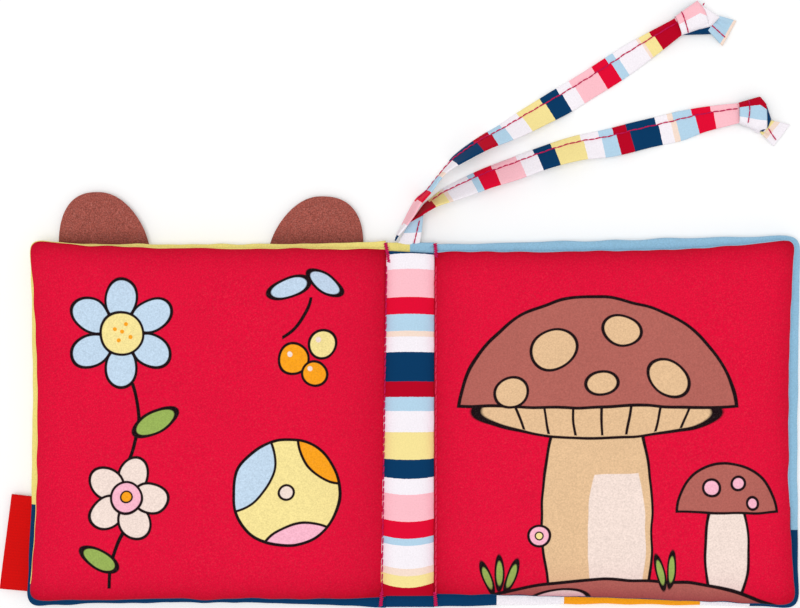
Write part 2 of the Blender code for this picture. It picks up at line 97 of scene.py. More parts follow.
# A material with a few short ways to add and wire its nodes
class Recipe:
    # The finish's fixed values stand on the shader's own sockets
    def __init__(self, name, roughness=0.85, sheen=0.04, sheenRoughness=0.5, specular=0.06):
        self.material = bpy.data.materials.new(name)
        self.material.use_nodes = True
        self.tree = self.material.node_tree
        self.shader = self.tree.nodes["Principled BSDF"]
        for socket, value in (("Roughness", roughness), ("Sheen Weight", sheen),
                              ("Sheen Roughness", sheenRoughness), ("Specular IOR Level", specular)):
            self.shader.inputs[socket].default_value = value

    # A node of one kind, with its settings
    def add(self, kind, **settings):
        node = self.tree.nodes.new(kind)
        for key, value in settings.items():
            setattr(node, key, value)
        return node

    # A socket takes another node's output, or a plain value
    def feed(self, socket, value):
        if isinstance(value, bpy.types.NodeSocket):
            self.tree.links.new(value, socket)
        else:
            socket.default_value = value

    # One step of arithmetic on numbers, held between 0 and 1 where clamp is set
    def number(self, operation, *values, clamp=False):
        node = self.add("ShaderNodeMath", operation=operation, use_clamp=clamp)
        for socket, value in zip(node.inputs, values):
            self.feed(socket, value)
        return node.outputs[0]

    # One step of arithmetic on arrows; a length, distance or dot product comes out as a number
    def arrow(self, operation, *values):
        node = self.add("ShaderNodeVectorMath", operation=operation)
        for socket, value in zip(node.inputs, values):
            self.feed(socket, value)
        return node.outputs["Value" if operation in ("LENGTH", "DISTANCE", "DOT_PRODUCT") else "Vector"]

    # An arrow times a fixed amount
    def scaled(self, where, amount):
        node = self.add("ShaderNodeVectorMath", operation="SCALE")
        self.feed(node.inputs[0], where)
        node.inputs["Scale"].default_value = amount
        return node.outputs["Vector"]

    # Soft noise, with scale lumps to each unit of the place, as a number or a colour
    def noise(self, where, scale, detail=2.0, colour=False):
        node = self.add("ShaderNodeTexNoise")
        self.feed(node.inputs["Vector"], where)
        node.inputs["Scale"].default_value = scale
        node.inputs["Detail"].default_value = detail
        return node.outputs["Color" if colour else "Fac"]

    # The three parts of an arrow
    def split(self, where):
        node = self.add("ShaderNodeSeparateXYZ")
        self.feed(node.inputs[0], where)
        return node.outputs

    # Colours mixed as under * (1 - share) + over * share, or in another named way
    def mix(self, share, under, over, way="MIX"):
        node = self.add("ShaderNodeMix", data_type="RGBA", blend_type=way)
        self.feed(node.inputs[0], share)
        self.feed(node.inputs[6], under)
        self.feed(node.inputs[7], over)
        return node.outputs[2]

    # Tilts the shader's normal by a height in millimetres
    def bump(self, height):
        node = self.add("ShaderNodeBump")
        node.inputs["Strength"].default_value = 1.0
        node.inputs["Distance"].default_value = 0.001
        self.feed(node.inputs["Height"], height)
        self.feed(self.shader.inputs["Normal"], node.outputs["Normal"])

    # Where the pattern is read from: the object's own place, or its UV map laid out in metres
    def place(self, kind):
        return self.add("ShaderNodeTexCoord").outputs["Object" if kind == "object" else "UV"]


# Floor: a pale sheet that shows the object's shadow, lifted to white only for the eye and for gloss
def makeFloor():
    recipe = Recipe("floorPaper", roughness=0.95, sheen=0.0, specular=0.0)
    shade = studio["floorShade"]
    recipe.shader.inputs["Base Color"].default_value = (shade, shade, shade, 1)
    path = recipe.add("ShaderNodeLightPath")
    seen = recipe.number("MAXIMUM", path.outputs["Is Camera Ray"], path.outputs["Is Glossy Ray"])
    seen = recipe.number("MAXIMUM", seen, path.outputs["Is Transmission Ray"])
    recipe.shader.inputs["Emission Color"].default_value = (1, 1, 1, 1)
    lift = recipe.number("MULTIPLY", seen, studio["floorLift"])
    recipe.feed(recipe.shader.inputs["Emission Strength"], lift)
    mesh = bpy.data.meshes.new("floor")
    far, down = studio["floorHalf"], -studio["floorDrop"]
    corners = [(-far, -far, down), (far, -far, down), (far, far, down), (-far, far, down)]
    mesh.from_pydata(corners, [], [(0, 1, 2, 3)])
    floor = bpy.data.objects.new("floor", mesh)
    floor.data.materials.append(recipe.material)
    bpy.context.scene.collection.objects.link(floor)


# Light: an even white sky, and one broad lamp from the upper left that gives the padding its shade
def makeLight():
    world = bpy.data.worlds.new("studioSky")
    bpy.context.scene.world = world
    world.use_nodes = True
    tree = world.node_tree
    background = tree.nodes["Background"]
    path = tree.nodes.new("ShaderNodeLightPath")
    seen = tree.nodes.new("ShaderNodeMath")
    seen.operation = "MAXIMUM"
    tree.links.new(path.outputs["Is Camera Ray"], seen.inputs[0])
    tree.links.new(path.outputs["Is Glossy Ray"], seen.inputs[1])
    strength = tree.nodes.new("ShaderNodeMapRange")
    strength.inputs["To Min"].default_value = studio["skyStrength"]
    strength.inputs["To Max"].default_value = 1.0
    tree.links.new(seen.outputs[0], strength.inputs["Value"])
    tree.links.new(strength.outputs["Result"], background.inputs["Strength"])
    background.inputs["Color"].default_value = (1, 1, 1, 1)
    lampData = bpy.data.lights.new("softLamp", "SUN")
    lampData.energy = studio["lampPower"]
    lampData.angle = math.radians(studio["lampAngle"])
    lamp = bpy.data.objects.new("softLamp", lampData)
    lamp.rotation_euler = (math.radians(studio["lampTilt"][0]), math.radians(studio["lampTilt"][1]), 0)
    bpy.context.scene.collection.objects.link(lamp)


makeFloor()
makeLight()
print("cloth book: camera, light and floor set")


# Meshes worked out on grids

# Smooth step: t * t * (3 - 2 t), with t held between 0 and 1
def ease(share):
    share = np.clip(share, 0, 1)
    return share * share * (3 - 2 * share)


# Soft waves: the sum of sine waves in seeded directions, whose lengths lie between shortest and longest, over
# the root of their count
def waves(x, y, shortest, longest, seed, count=9):
    dice = np.random.default_rng(seed)
    total = np.zeros(np.broadcast(x, y).shape)
    for _ in range(count):
        heading, phase = dice.uniform(0, 2 * math.pi, 2)
        length = dice.uniform(shortest, longest)
        total = total + np.sin(2 * math.pi * (x * math.cos(heading) + y * math.sin(heading)) / length + phase)
    return total / math.sqrt(count)


# Faces of a grid: point (i, j) is joined to (i + 1, j), (i + 1, j + 1) and (i, j + 1), and a closed way wraps
# round
def gridFaces(rows, columns, closeRows=False, closeColumns=False):
    number = np.arange(rows * columns).reshape(rows, columns)
    if closeRows:
        number = np.vstack([number, number[:1]])
    if closeColumns:
        number = np.hstack([number, number[:, :1]])
    corners = [number[:-1, :-1], number[1:, :-1], number[1:, 1:], number[:-1, 1:]]
    return np.stack(corners, axis=-1).reshape(-1, 4)


# A piece from points, faces and the metres of its UV map at each face corner. It is turned so that its
# faces look toward the given way, or outward when it is closed. A wall grows inward, or both
# ways at offset 0.
def makePiece(name, points, faces, uv=None, toward=None, wall=0.0, offset=-1):
    points = np.asarray(points, float).reshape(-1, 3)
    faces = np.asarray(faces)
    first, second, third = (points[faces[:, k]] for k in (0, 1, 2))
    normals = np.cross(second - first, third - first)
    if toward is None:
        toward = (first + second + third) / 3 - points.mean(axis=0)
    if (normals * np.asarray(toward)).sum() < 0:
        faces = faces[:, ::-1]
        uv = None if uv is None else uv[:, ::-1]
    mesh = bpy.data.meshes.new(name)
    mesh.vertices.add(len(points))
    mesh.vertices.foreach_set("co", points.astype(np.float32).ravel())
    sides = faces.shape[1]
    mesh.loops.add(faces.size)
    mesh.loops.foreach_set("vertex_index", faces.astype(np.int32).ravel())
    mesh.polygons.add(len(faces))
    mesh.polygons.foreach_set("loop_start", np.arange(0, faces.size, sides, dtype=np.int32))
    mesh.update(calc_edges=True)
    mesh.validate()
    if uv is not None:
        layer = mesh.uv_layers.new(name="clothMap")
        layer.data.foreach_set("uv", np.asarray(uv, np.float32).ravel())
    mesh.shade_smooth()
    piece = bpy.data.objects.new(name, mesh)
    bpy.context.scene.collection.objects.link(piece)
    if wall:
        thick = piece.modifiers.new("clothThickness", "SOLIDIFY")
        thick.thickness = wall
        thick.offset = offset
    return piece


# A grid surface, with the UV of each corner read from a grid that has one more row where it closes
def gridPiece(name, points, uvGrid=None, closeRows=False, toward=None, wall=0.0, offset=-1):
    rows, columns = points.shape[:2]
    uv = None if uvGrid is None else uvGrid.reshape(-1, 2)[gridFaces(rows + closeRows, columns)]
    return makePiece(name, points, gridFaces(rows, columns, closeRows), uv, toward, wall, offset)


# Painted shade, as shares from 0 to 1 kept on a piece's points, which its finish reads by the name rim
def keepPaintedShade(piece, values):
    rim = piece.data.attributes.new("rim", "FLOAT", "POINT")
    rim.data.foreach_set("value", values.astype(np.float32).ravel())


# Body, finish, CAD nodes that it stands for and material, all given to a piece at once
def dress(piece, body, material, nodes=()):
    piece.data.materials.append(material)
    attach(piece, body)
    if nodes:
        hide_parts(*nodes)
    return piece


# Frames along a line: the way forward, the level way to its left, and the way square to both
def lineFrames(line):
    forward = np.gradient(line, axis=0)
    forward /= np.linalg.norm(forward, axis=1, keepdims=True)
    left = np.cross([0.0, 0.0, 1.0], forward)
    left /= np.maximum(np.linalg.norm(left, axis=1, keepdims=True), 1e-9)
    return forward, left, np.cross(forward, left)


# Distance along a line from its first point
def lengthAlong(line):
    return np.concatenate([[0], np.cumsum(np.linalg.norm(np.diff(line, axis=0), axis=1))])


# Thread: a round tube along each of many short lines, thin at both ends so that it sinks into the cloth
def threadPiece(name, lines, radius, sides=6, blunt=0.25):
    count, steps = lines.shape[:2]
    forward = np.gradient(lines, axis=1)
    forward /= np.linalg.norm(forward, axis=2, keepdims=True)
    steep = np.abs(forward[..., 2:3]) > 0.8  # an almost upright line is framed from x in place of z
    guide = np.where(steep, [1.0, 0.0, 0.0], [0.0, 0.0, 1.0])
    left = np.cross(guide, forward)
    left /= np.linalg.norm(left, axis=2, keepdims=True)
    up = np.cross(forward, left)
    turn = np.linspace(0, 2 * math.pi, sides, endpoint=False)
    share = np.linspace(-1, 1, steps)
    thick = radius * (blunt + (1 - blunt) * np.sqrt(1 - share ** 4))[None, :, None, None]
    ring = left[:, :, None] * np.cos(turn)[:, None] + up[:, :, None] * np.sin(turn)[:, None]
    points = (lines[:, :, None] + ring * thick).reshape(-1, 3)
    one = gridFaces(steps, sides, closeColumns=True)
    faces = (one[None] + (np.arange(count) * steps * sides)[:, None, None]).reshape(-1, 4)
    tips = np.concatenate([lines[:, 0], lines[:, -1]])
    tipNumber = len(points) + np.arange(2 * count)
    ringNumber = np.arange(sides)
    start = (np.arange(count) * steps * sides)[:, None] + ringNumber
    end = start + (steps - 1) * sides
    around = np.concatenate([start, end[:, ::-1]])
    caps = np.stack([np.repeat(tipNumber[:, None], sides // 2, 1), around[:, 0::2], around[:, 1::2],
                     np.roll(around, -2, axis=1)[:, 0::2]], axis=-1).reshape(-1, 4)
    # the tube's own way round is settled from its first stitch, so that caps and walls look the same way
    allPoints = np.concatenate([points, tips])
    walls = faces.reshape(count, -1, 4)[0]
    middle = lines[0].mean(axis=0)
    a, b, c = (allPoints[walls[:, k]] for k in (0, 1, 2))
    if (np.cross(b - a, c - a) * ((a + b + c) / 3 - middle)).sum() < 0:
        faces = faces[:, ::-1]
    else:
        caps = caps[:, ::-1]
    mesh = bpy.data.meshes.new(name)
    allFaces = np.concatenate([faces, caps])
    mesh.from_pydata(allPoints.tolist(), [], allFaces.tolist())
    mesh.shade_smooth()
    piece = bpy.data.objects.new(name, mesh)
    bpy.context.scene.collection.objects.link(piece)
    return piece


# Finishes

# How any woven cloth is broken up. A scale is lumps to a metre, bend is in metres, and the rest are shares.
clothNoise = {"bendScale": 700, "bend": 0.00016, "yarnScale": 1500, "creaseScale": 130, "weaveShade": 0.02,
              "patchScale": 60, "patch": 0.07, "lintScale": 2100, "rough": 0.76, "roughSpread": 0.16}


# Woven cloth: the weave's height is sin(x) * sin(y) at the thread pitch, broken up by uneven yarn, over
# soft creases; the dye varies from yarn to yarn, in fine speckles and in broad patches, and times the painted
# shade given as shade. Lint mixes a little cream in, and the tint, a painted shade, is multiplied in by the
# cloth's own rim value, from 0 to 1.
def weaveCloth(recipe, where, colour, pitch=0.00042, weaveHeight=0.010, slub=0.02, crease=0.05, grain=0.08,
               speckle=0.10, flecks=1500, lint=0.0, tint=None, shade=None):
    c = clothNoise
    stray = recipe.noise(where, c["bendScale"], 1.0, colour=True)
    bent = recipe.arrow("ADD", where, recipe.scaled(stray, c["bend"]))
    x, y, _ = recipe.split(recipe.scaled(bent, 2 * math.pi / pitch))
    weave = recipe.number("MULTIPLY", recipe.number("SINE", x), recipe.number("SINE", y))
    yarn = recipe.noise(where, c["yarnScale"], 2.0)
    soft = recipe.noise(where, c["creaseScale"], 3.0)
    height = recipe.number("MULTIPLY_ADD", weave, weaveHeight, recipe.number("MULTIPLY", yarn, slub))
    recipe.bump(recipe.number("MULTIPLY_ADD", soft, crease, height))
    tone = recipe.number("MULTIPLY_ADD", yarn, grain * 2, 1 - grain)
    # painted shade: the tone is lighter where the weave stands high and darker in its hollows
    tone = recipe.number("MULTIPLY_ADD", weave, c["weaveShade"], tone)
    fleck = recipe.number("MULTIPLY_ADD", recipe.noise(where, flecks, 1.0), speckle * 2, 1 - speckle)
    tone = recipe.number("MULTIPLY", tone, fleck)
    broad = recipe.noise(where, c["patchScale"], 2.0)
    broad = recipe.number("MULTIPLY_ADD", broad, c["patch"], 1 - c["patch"] / 2)
    tone = recipe.number("MULTIPLY", tone, broad)
    if shade is not None:
        tone = recipe.number("MULTIPLY", tone, shade)
    if lint:
        pale = recipe.noise(where, c["lintScale"], 1.0)
        pale = recipe.number("MULTIPLY_ADD", pale, lint * 2, -lint, clamp=True)
        colour = recipe.mix(pale, colour, dyes["cream"])
    # painted shade: where the rim value is high, the colour is multiplied by the tint
    if tint:
        rim = recipe.add("ShaderNodeAttribute", attribute_name="rim")
        colour = recipe.mix(rim.outputs["Fac"], colour, tint, "MULTIPLY")
    shaded = recipe.add("ShaderNodeHueSaturation")
    recipe.feed(shaded.inputs["Color"], colour)
    recipe.feed(shaded.inputs["Value"], tone)
    recipe.feed(recipe.shader.inputs["Base Color"], shaded.outputs["Color"])
    rough = recipe.number("MULTIPLY_ADD", yarn, c["roughSpread"], c["rough"])
    recipe.feed(recipe.shader.inputs["Roughness"], rough)
    return recipe.material


# Painted shade near a line: 1 - depth + depth * (away / reach) ^ 0.8, so 1 from reach on
def paintedLineShade(recipe, away, reach, shadeDepth):
    share = recipe.number("DIVIDE", away, reach, clamp=True)
    return recipe.number("MULTIPLY_ADD", recipe.number("POWER", share, 0.8), shadeDepth, 1 - shadeDepth)


# A cloth of one dye
def plainCloth(name, colour):
    recipe = Recipe(name)
    return weaveCloth(recipe, recipe.place("object"), colour)


bandEdge = {"scale": 900, "waver": 0.0003}  # how the dye's edge wanders between two bands, in metres


# Bands along U, each given by its dye and its end in millimetres, times stretch: the dye steps at each end.
# Past the fold's place across the cloth, the bands stand shifted by its shift.
def bandedCloth(name, bands, stretch=1.0, fold=None, **finish):
    recipe = Recipe(name)
    where = recipe.place("uv")
    along, across, _ = recipe.split(where)
    if fold:
        beyond = recipe.number("GREATER_THAN", across, fold["from"])
        along = recipe.number("MULTIPLY_ADD", beyond, fold["shift"], along)
    wander = recipe.noise(where, bandEdge["scale"], 1.0)
    wander = recipe.number("MULTIPLY_ADD", wander, bandEdge["waver"], -bandEdge["waver"] / 2)
    along = recipe.number("ADD", along, wander)
    ramp = recipe.add("ShaderNodeValToRGB")
    ramp.color_ramp.interpolation = "CONSTANT"
    ends = [end / 1000 * stretch for _, end in bands]
    recipe.feed(ramp.inputs["Fac"], recipe.number("DIVIDE", along, ends[-1]))
    stops = ramp.color_ramp.elements
    for number, ((colour, _), start) in enumerate(zip(bands, [0.0] + ends)):
        place = min(start / ends[-1], 1.0)
        stop = stops[number] if number < 2 else stops.new(place)  # a new ramp already has two stops
        stop.position = place
        stop.color = dyes[colour]
    return weaveCloth(recipe, where, ramp.outputs["Color"], **finish)


ribbonWeave = {"grain": 0.05, "speckle": 0.05}  # the finer cloth of the strip and the ties
# ridge and base set the painted shade of the twist: the tone is base + ridge * sin, lighter on each ridge
threadTwist = {"pitch": 0.00025, "height": 0.015, "fuzz": 0.3, "ridge": 0.06, "base": 0.84}


# Twisted thread: slanted ridges sin(x + y + z) along the stitch, with painted shade: a lighter tone on each
# ridge and a darker one between them
def threadFinish(name, colour):
    t = threadTwist
    recipe = Recipe(name, roughness=0.6, sheen=0.05, specular=0.15)
    where = recipe.place("object")
    x, y, z = recipe.split(recipe.scaled(where, 2 * math.pi / t["pitch"]))
    twist = recipe.number("SINE", recipe.number("ADD", recipe.number("ADD", x, y), z))
    recipe.bump(recipe.number("MULTIPLY", twist, t["height"]))
    ridgeShade = recipe.number("MULTIPLY_ADD", twist, t["ridge"], t["base"])
    tone = recipe.number("MULTIPLY_ADD", recipe.noise(where, 800), t["fuzz"], ridgeShade)
    recipe.feed(recipe.shader.inputs["Base Color"], recipe.mix(1.0, colour, tone, "MULTIPLY"))
    return recipe.material


magentaThread = threadFinish("magentaThread", dyes["magenta"])


# Ties: two flat ribbons, each with a knot and a short free tail

tieShape = {"width": 0.0110, "thickness": 0.0012, "seamAt": 0.73, "stitchPitch": 0.0027,
            "stitchLength": 0.00264, "threadRadius": 0.00027, "bandStretch": 1.012, "foldShift": 0.0010,
            "ring": 40, "flutter": 2.5,
            "seamDeep": 0.42, "seamWide": 0.10, "hollow": 0.16, "ripple": 0.10, "stitchRise": 0.00030,
            "stitchSink": 0.00008, "stitchLevel": 0.36}

# A route's points are x and y from the middle of the spine, the height and the tilt from flat in degrees;
# wide gives the ribbon's width at distances along it, in millimetres
upperTie = {
    "body": "tie_upper", "sewnFrom": 0.0215, "wide": ([0, 3.4, 7.6, 13, 19, 33, 45, 58, 75, 128, 152],
                                  [3.0, 6.4, 8.0, 10.0, 10.0, 10.2, 10.4, 10.8, 11.7, 11.7, 7.8]),
    "route": [
        (-0.0062, 0.0767, 0.0062, 87), (-0.0048, 0.0798, 0.0063, 80), (-0.0024, 0.0832, 0.0065, 76),
        (0.0006, 0.0881, 0.0066, 72), (0.0035, 0.0931, 0.0066, 72), (0.0075, 0.0971, 0.0066, 76),
        (0.0124, 0.1034, 0.0063, 80), (0.0162, 0.1076, 0.0061, 74), (0.0212, 0.1117, 0.0058, 64),
        (0.0315, 0.1181, 0.0052, 53), (0.0406, 0.1225, 0.0045, 42), (0.0541, 0.1301, 0.0026, 18),
        (0.0665, 0.1372, 0.0009, 0), (0.0834, 0.1477, 0.0008, 0), (0.0955, 0.1557, 0.0012, 0),
        (0.1129, 0.1670, 0.0030, 0), (0.1141, 0.1678, 0.0031, 0)],
    "bands": [("navy", 2.0), ("white", 8.1), ("pink", 19.3), ("stripeRed", 25.0), ("paleBlue", 32.0),
              ("peach", 35.0), ("white", 41.2), ("navy", 53.4), ("crimson", 60.6), ("paleBlue", 66.6),
              ("white", 75.2), ("lemon", 86.6), ("navy", 94.6), ("white", 100.9), ("pink", 112.5),
              ("stripeRed", 118.9), ("paleBlue", 122.9), ("white", 133.9), ("peach", 135.6), ("lemon", 140.6),
              ("crimson", 152.5), ("pink", 160.0)],
}
lowerTie = {
    "body": "tie_lower", "sewnFrom": 0.0115, "wide": ([0, 2.8, 6.7, 10.4, 21, 35, 61, 75, 89, 120, 144],
                                  [4.6, 7.0, 9.4, 10.4, 10.8, 11.2, 11.5, 11.8, 12.3, 12.3, 8.4]),
    "route": [
        (0.0024, 0.0866, 0.0058, 76), (0.0045, 0.0885, 0.0058, 72), (0.0074, 0.0911, 0.0058, 67),
        (0.0105, 0.0931, 0.0057, 64), (0.0148, 0.0955, 0.0053, 52), (0.0200, 0.0978, 0.0048, 45),
        (0.0324, 0.1031, 0.0041, 36), (0.0438, 0.1070, 0.0038, 34), (0.0573, 0.1120, 0.0036, 31),
        (0.0708, 0.1159, 0.0030, 24), (0.0844, 0.1182, 0.0018, 9), (0.0992, 0.1219, 0.0009, 2),
        (0.1127, 0.1250, 0.0008, 0), (0.1240, 0.1281, 0.0014, 0), (0.1379, 0.1306, 0.0028, 0),
        (0.1397, 0.1309, 0.0030, 0)],
    "bands": [("crimson", 9.3), ("lemon", 14.9), ("peach", 16.9), ("white", 27.6), ("paleBlue", 31.0),
              ("stripeRed", 38.4), ("pink", 49.8), ("white", 56.9), ("navy", 64.6), ("lemon", 76.8),
              ("white", 84.6), ("paleBlue", 90.9), ("crimson", 97.0), ("navy", 109.2), ("white", 114.6),
              ("peach", 116.8), ("paleBlue", 125.2), ("stripeRed", 132.5), ("pink", 150.0)],
}


# Smooth line through its points: between b and c, with a before and d after them, it is
# 0.5 (2 b + (c - a) t + (2 a - 5 b + 4 c - d) t^2 + (3 b - a - 3 c + d) t^3)
def smoothLine(route, steps):
    places = np.array(route, float)
    padded = np.vstack([2 * places[0] - places[1], places, 2 * places[-1] - places[-2]])
    a, b, c, d = (padded[k:len(places) - 1 + k, None] for k in range(4))
    t = (np.arange(steps) / steps)[None, :, None]
    bend, twist = 2 * a - 5 * b + 4 * c - d, 3 * b - a - 3 * c + d
    spans = 0.5 * (2 * b + (c - a) * t + bend * t ** 2 + twist * t ** 3)
    return np.vstack([spans.reshape(-1, places.shape[1]), places[-1]])


# Ribbon: a flattened tube carried along the line. Its section is cos(a) ^ 0.7 * width / 2 across and a blunt
# sin(a) ^ 0.45 through its thickness, pressed in along the seam, and it narrows toward both ends. Its
# stitches run along the seam, each a low arc of rise * (1 - t ^ 2) - sink.
def tieRibbon(name, tie):
    line = smoothLine(tie["route"], 10)
    tilt = np.radians(line[:, 3])
    line = line[:, :3] + [spineX, spineY, 0]
    gone = lengthAlong(line)
    whole = gone[-1]
    forward, left, up = lineFrames(line)
    flutter = np.radians(tieShape["flutter"]) * np.sin(gone / 0.011) * ease(gone / 0.05)
    flutter = flutter * ease((whole - gone) / 0.03)
    tilt = tilt + flutter
    broad = left * np.cos(tilt)[:, None] - up * np.sin(tilt)[:, None]
    face = up * np.cos(tilt)[:, None] + left * np.sin(tilt)[:, None]
    ring = tieShape["ring"]
    around = np.linspace(0, 2 * math.pi, ring, endpoint=False)
    across = np.sign(np.cos(around)) * np.abs(np.cos(around)) ** 0.7
    through = np.sign(np.sin(around)) * np.abs(np.sin(around)) ** 0.45
    edgeWave = 1 + 0.012 * np.sin(gone / 0.0037 + 1.0)
    width = np.interp(gone * 1000, *tie["wide"]) / 2000 * edgeWave
    thick = tieShape["thickness"] / 2 * (1 + 0.5 * ease((gone - whole + 0.008) / 0.008)) \
        * (0.55 + 0.45 * ease(gone / 0.006))
    seam = 2 * tieShape["seamAt"] - 1
    groove = np.exp(-((across - seam) / tieShape["seamWide"]) ** 2)
    pressed = 1 - tieShape["seamDeep"] * groove * (through > 0)
    pressed = pressed - tieShape["hollow"] * np.exp(-((across + 0.1) / 0.5) ** 2)
    ripple = 1 + tieShape["ripple"] * waves(gone[:, None] * 1000, across[None, :] * 5, 4, 11, 5)
    points = line[:, None] + broad[:, None] * (across[None, :] * width[:, None])[..., None] \
        + face[:, None] * (through * pressed * thick[:, None] * ripple)[..., None]
    uvAround = np.append((across + 1) / 2, 1.0)
    uvGrid = np.stack(np.broadcast_arrays(gone[:, None], uvAround[None, :] * tieShape["width"]), axis=-1)
    uv = uvGrid.reshape(-1, 2)[gridFaces(len(line), ring + 1)]
    piece = makePiece(name, points, gridFaces(len(line), ring, closeColumns=True), uv)
    stitchAt = np.arange(tie["sewnFrom"], whole - 0.001, tieShape["stitchPitch"])
    lay = stitchAt[:, None] + np.linspace(-0.5, 0.5, 7)[None, :] * tieShape["stitchLength"]
    hump = tieShape["stitchRise"] * (1 - (np.linspace(-1, 1, 7) ** 2)) - tieShape["stitchSink"]
    middle = np.stack([np.interp(lay, gone, line[:, k]) for k in range(3)], axis=-1)
    broadAt = np.stack([np.interp(lay, gone, broad[:, k] * width) for k in range(3)], axis=-1)
    faceAt = np.stack([np.interp(lay, gone, face[:, k]) for k in range(3)], axis=-1)
    sway = seam + 0.02 * np.sin(lay * 900)
    proud = tieShape["thickness"] * tieShape["stitchLevel"] + hump
    stitches = middle + broadAt * sway[..., None] + faceAt * proud[None, :, None]
    return piece, line, whole, stitches


# Closes the two open ends of a tube whose rings have the given number of points
def closeEnds(piece, ring):
    mesh = piece.data
    count = len(mesh.vertices)
    bm = bmesh.new()
    bm.from_mesh(mesh)
    bm.verts.ensure_lookup_table()
    for first in (0, count - ring):
        bmesh.ops.contextual_create(bm, geom=[bm.verts[first + k] for k in range(ring)])
    bmesh.ops.recalc_face_normals(bm, faces=bm.faces)
    bm.to_mesh(mesh)
    bm.free()


# Wrap of a knot: a ribbon wound once round. Between its upper and lower edge it is a blunt loop
# cos(a) ^ 0.55 along and sin(a) ^ 0.75 up, and the edges are read from the corners along its width.
def knotWrap(name, wrap):
    share = np.linspace(-1, 1, 21)
    high, low = (np.stack([np.interp(share, wrap["share"], [spot(*p, wrap["middle"])[k] for p in wrap[edge]])
                           for k in (0, 1)], axis=-1) for edge in ("high", "low"))
    turn = np.linspace(0, 2 * math.pi, 72, endpoint=False)
    along = np.sign(np.cos(turn)) * np.abs(np.cos(turn)) ** 0.55
    rise = np.sign(np.sin(turn)) * np.abs(np.sin(turn)) ** 0.75
    middle, half = (high + low) / 2, (high - low) / 2
    plan = middle[None] + half[None] * along[:, None, None]
    bulge = 1 - wrap["fall"] * np.abs(share) ** 3
    dent = 1 + 0.10 * waves(turn[:, None] * 4, share[None, :] * 4, 3, 9, wrap["seed"])
    height = wrap["middle"] + wrap["rise"] * rise[:, None] * bulge[None] * dent + wrap["lean"] * share[None]
    height = np.maximum(height, 0.0002)
    points = np.concatenate([plan, height[..., None]], axis=-1)
    gap = np.linalg.norm(np.diff(points[:, 10], axis=0, append=points[:1, 10]), axis=1)
    around = np.concatenate([[0], np.cumsum(gap)])
    across = (share[None] + 1) / 2 * tieShape["width"]
    uvGrid = np.stack(np.broadcast_arrays(around[:, None], across), axis=-1)
    piece = gridPiece(name, points, uvGrid, closeRows=True, wall=0.0006)
    return piece, points


# Tail of a knot: from its neck to its cut end, the surface between the two edges, folded lengthways by a
# trough that fades toward the end
def knotTail(name, tail):
    along = np.linspace(0, 1, 26)[:, None]
    across = np.linspace(0, 1, 25)[None, :]
    neckA, neckB, endA, endB = (spot(*tail[k], tail["endHeight"])
                                for k in ("neckHigh", "neckLow", "endHigh", "endLow"))
    neck = neckA + (neckB - neckA) * across[..., None]
    end = endA + (endB - endA) * across[..., None]
    curve = (along ** 0.85)[..., None]
    points = neck + (end - neck) * curve
    trough = np.exp(-((across - tail["foldAt"]) / 0.12) ** 2)
    height = tail["neckHeight"] + (tail["endHeight"] - tail["neckHeight"]) * ease(along * 1.1)
    height = height - tail["foldDepth"] * trough * (1 - 0.75 * along)
    height = height + 0.0004 * np.sin(across * math.pi) * (1 - along)
    height = height + 0.00025 * np.sin(across * 7 + along * 3)
    points[..., 2] = np.maximum(height, 0.0009)
    length = np.linalg.norm((endA + endB) / 2 - (neckA + neckB) / 2)
    uvGrid = np.stack(np.broadcast_arrays(along * length, across * tieShape["width"]), axis=-1)
    return gridPiece(name, points, uvGrid, toward=(0, 0, 1), wall=0.0008), points


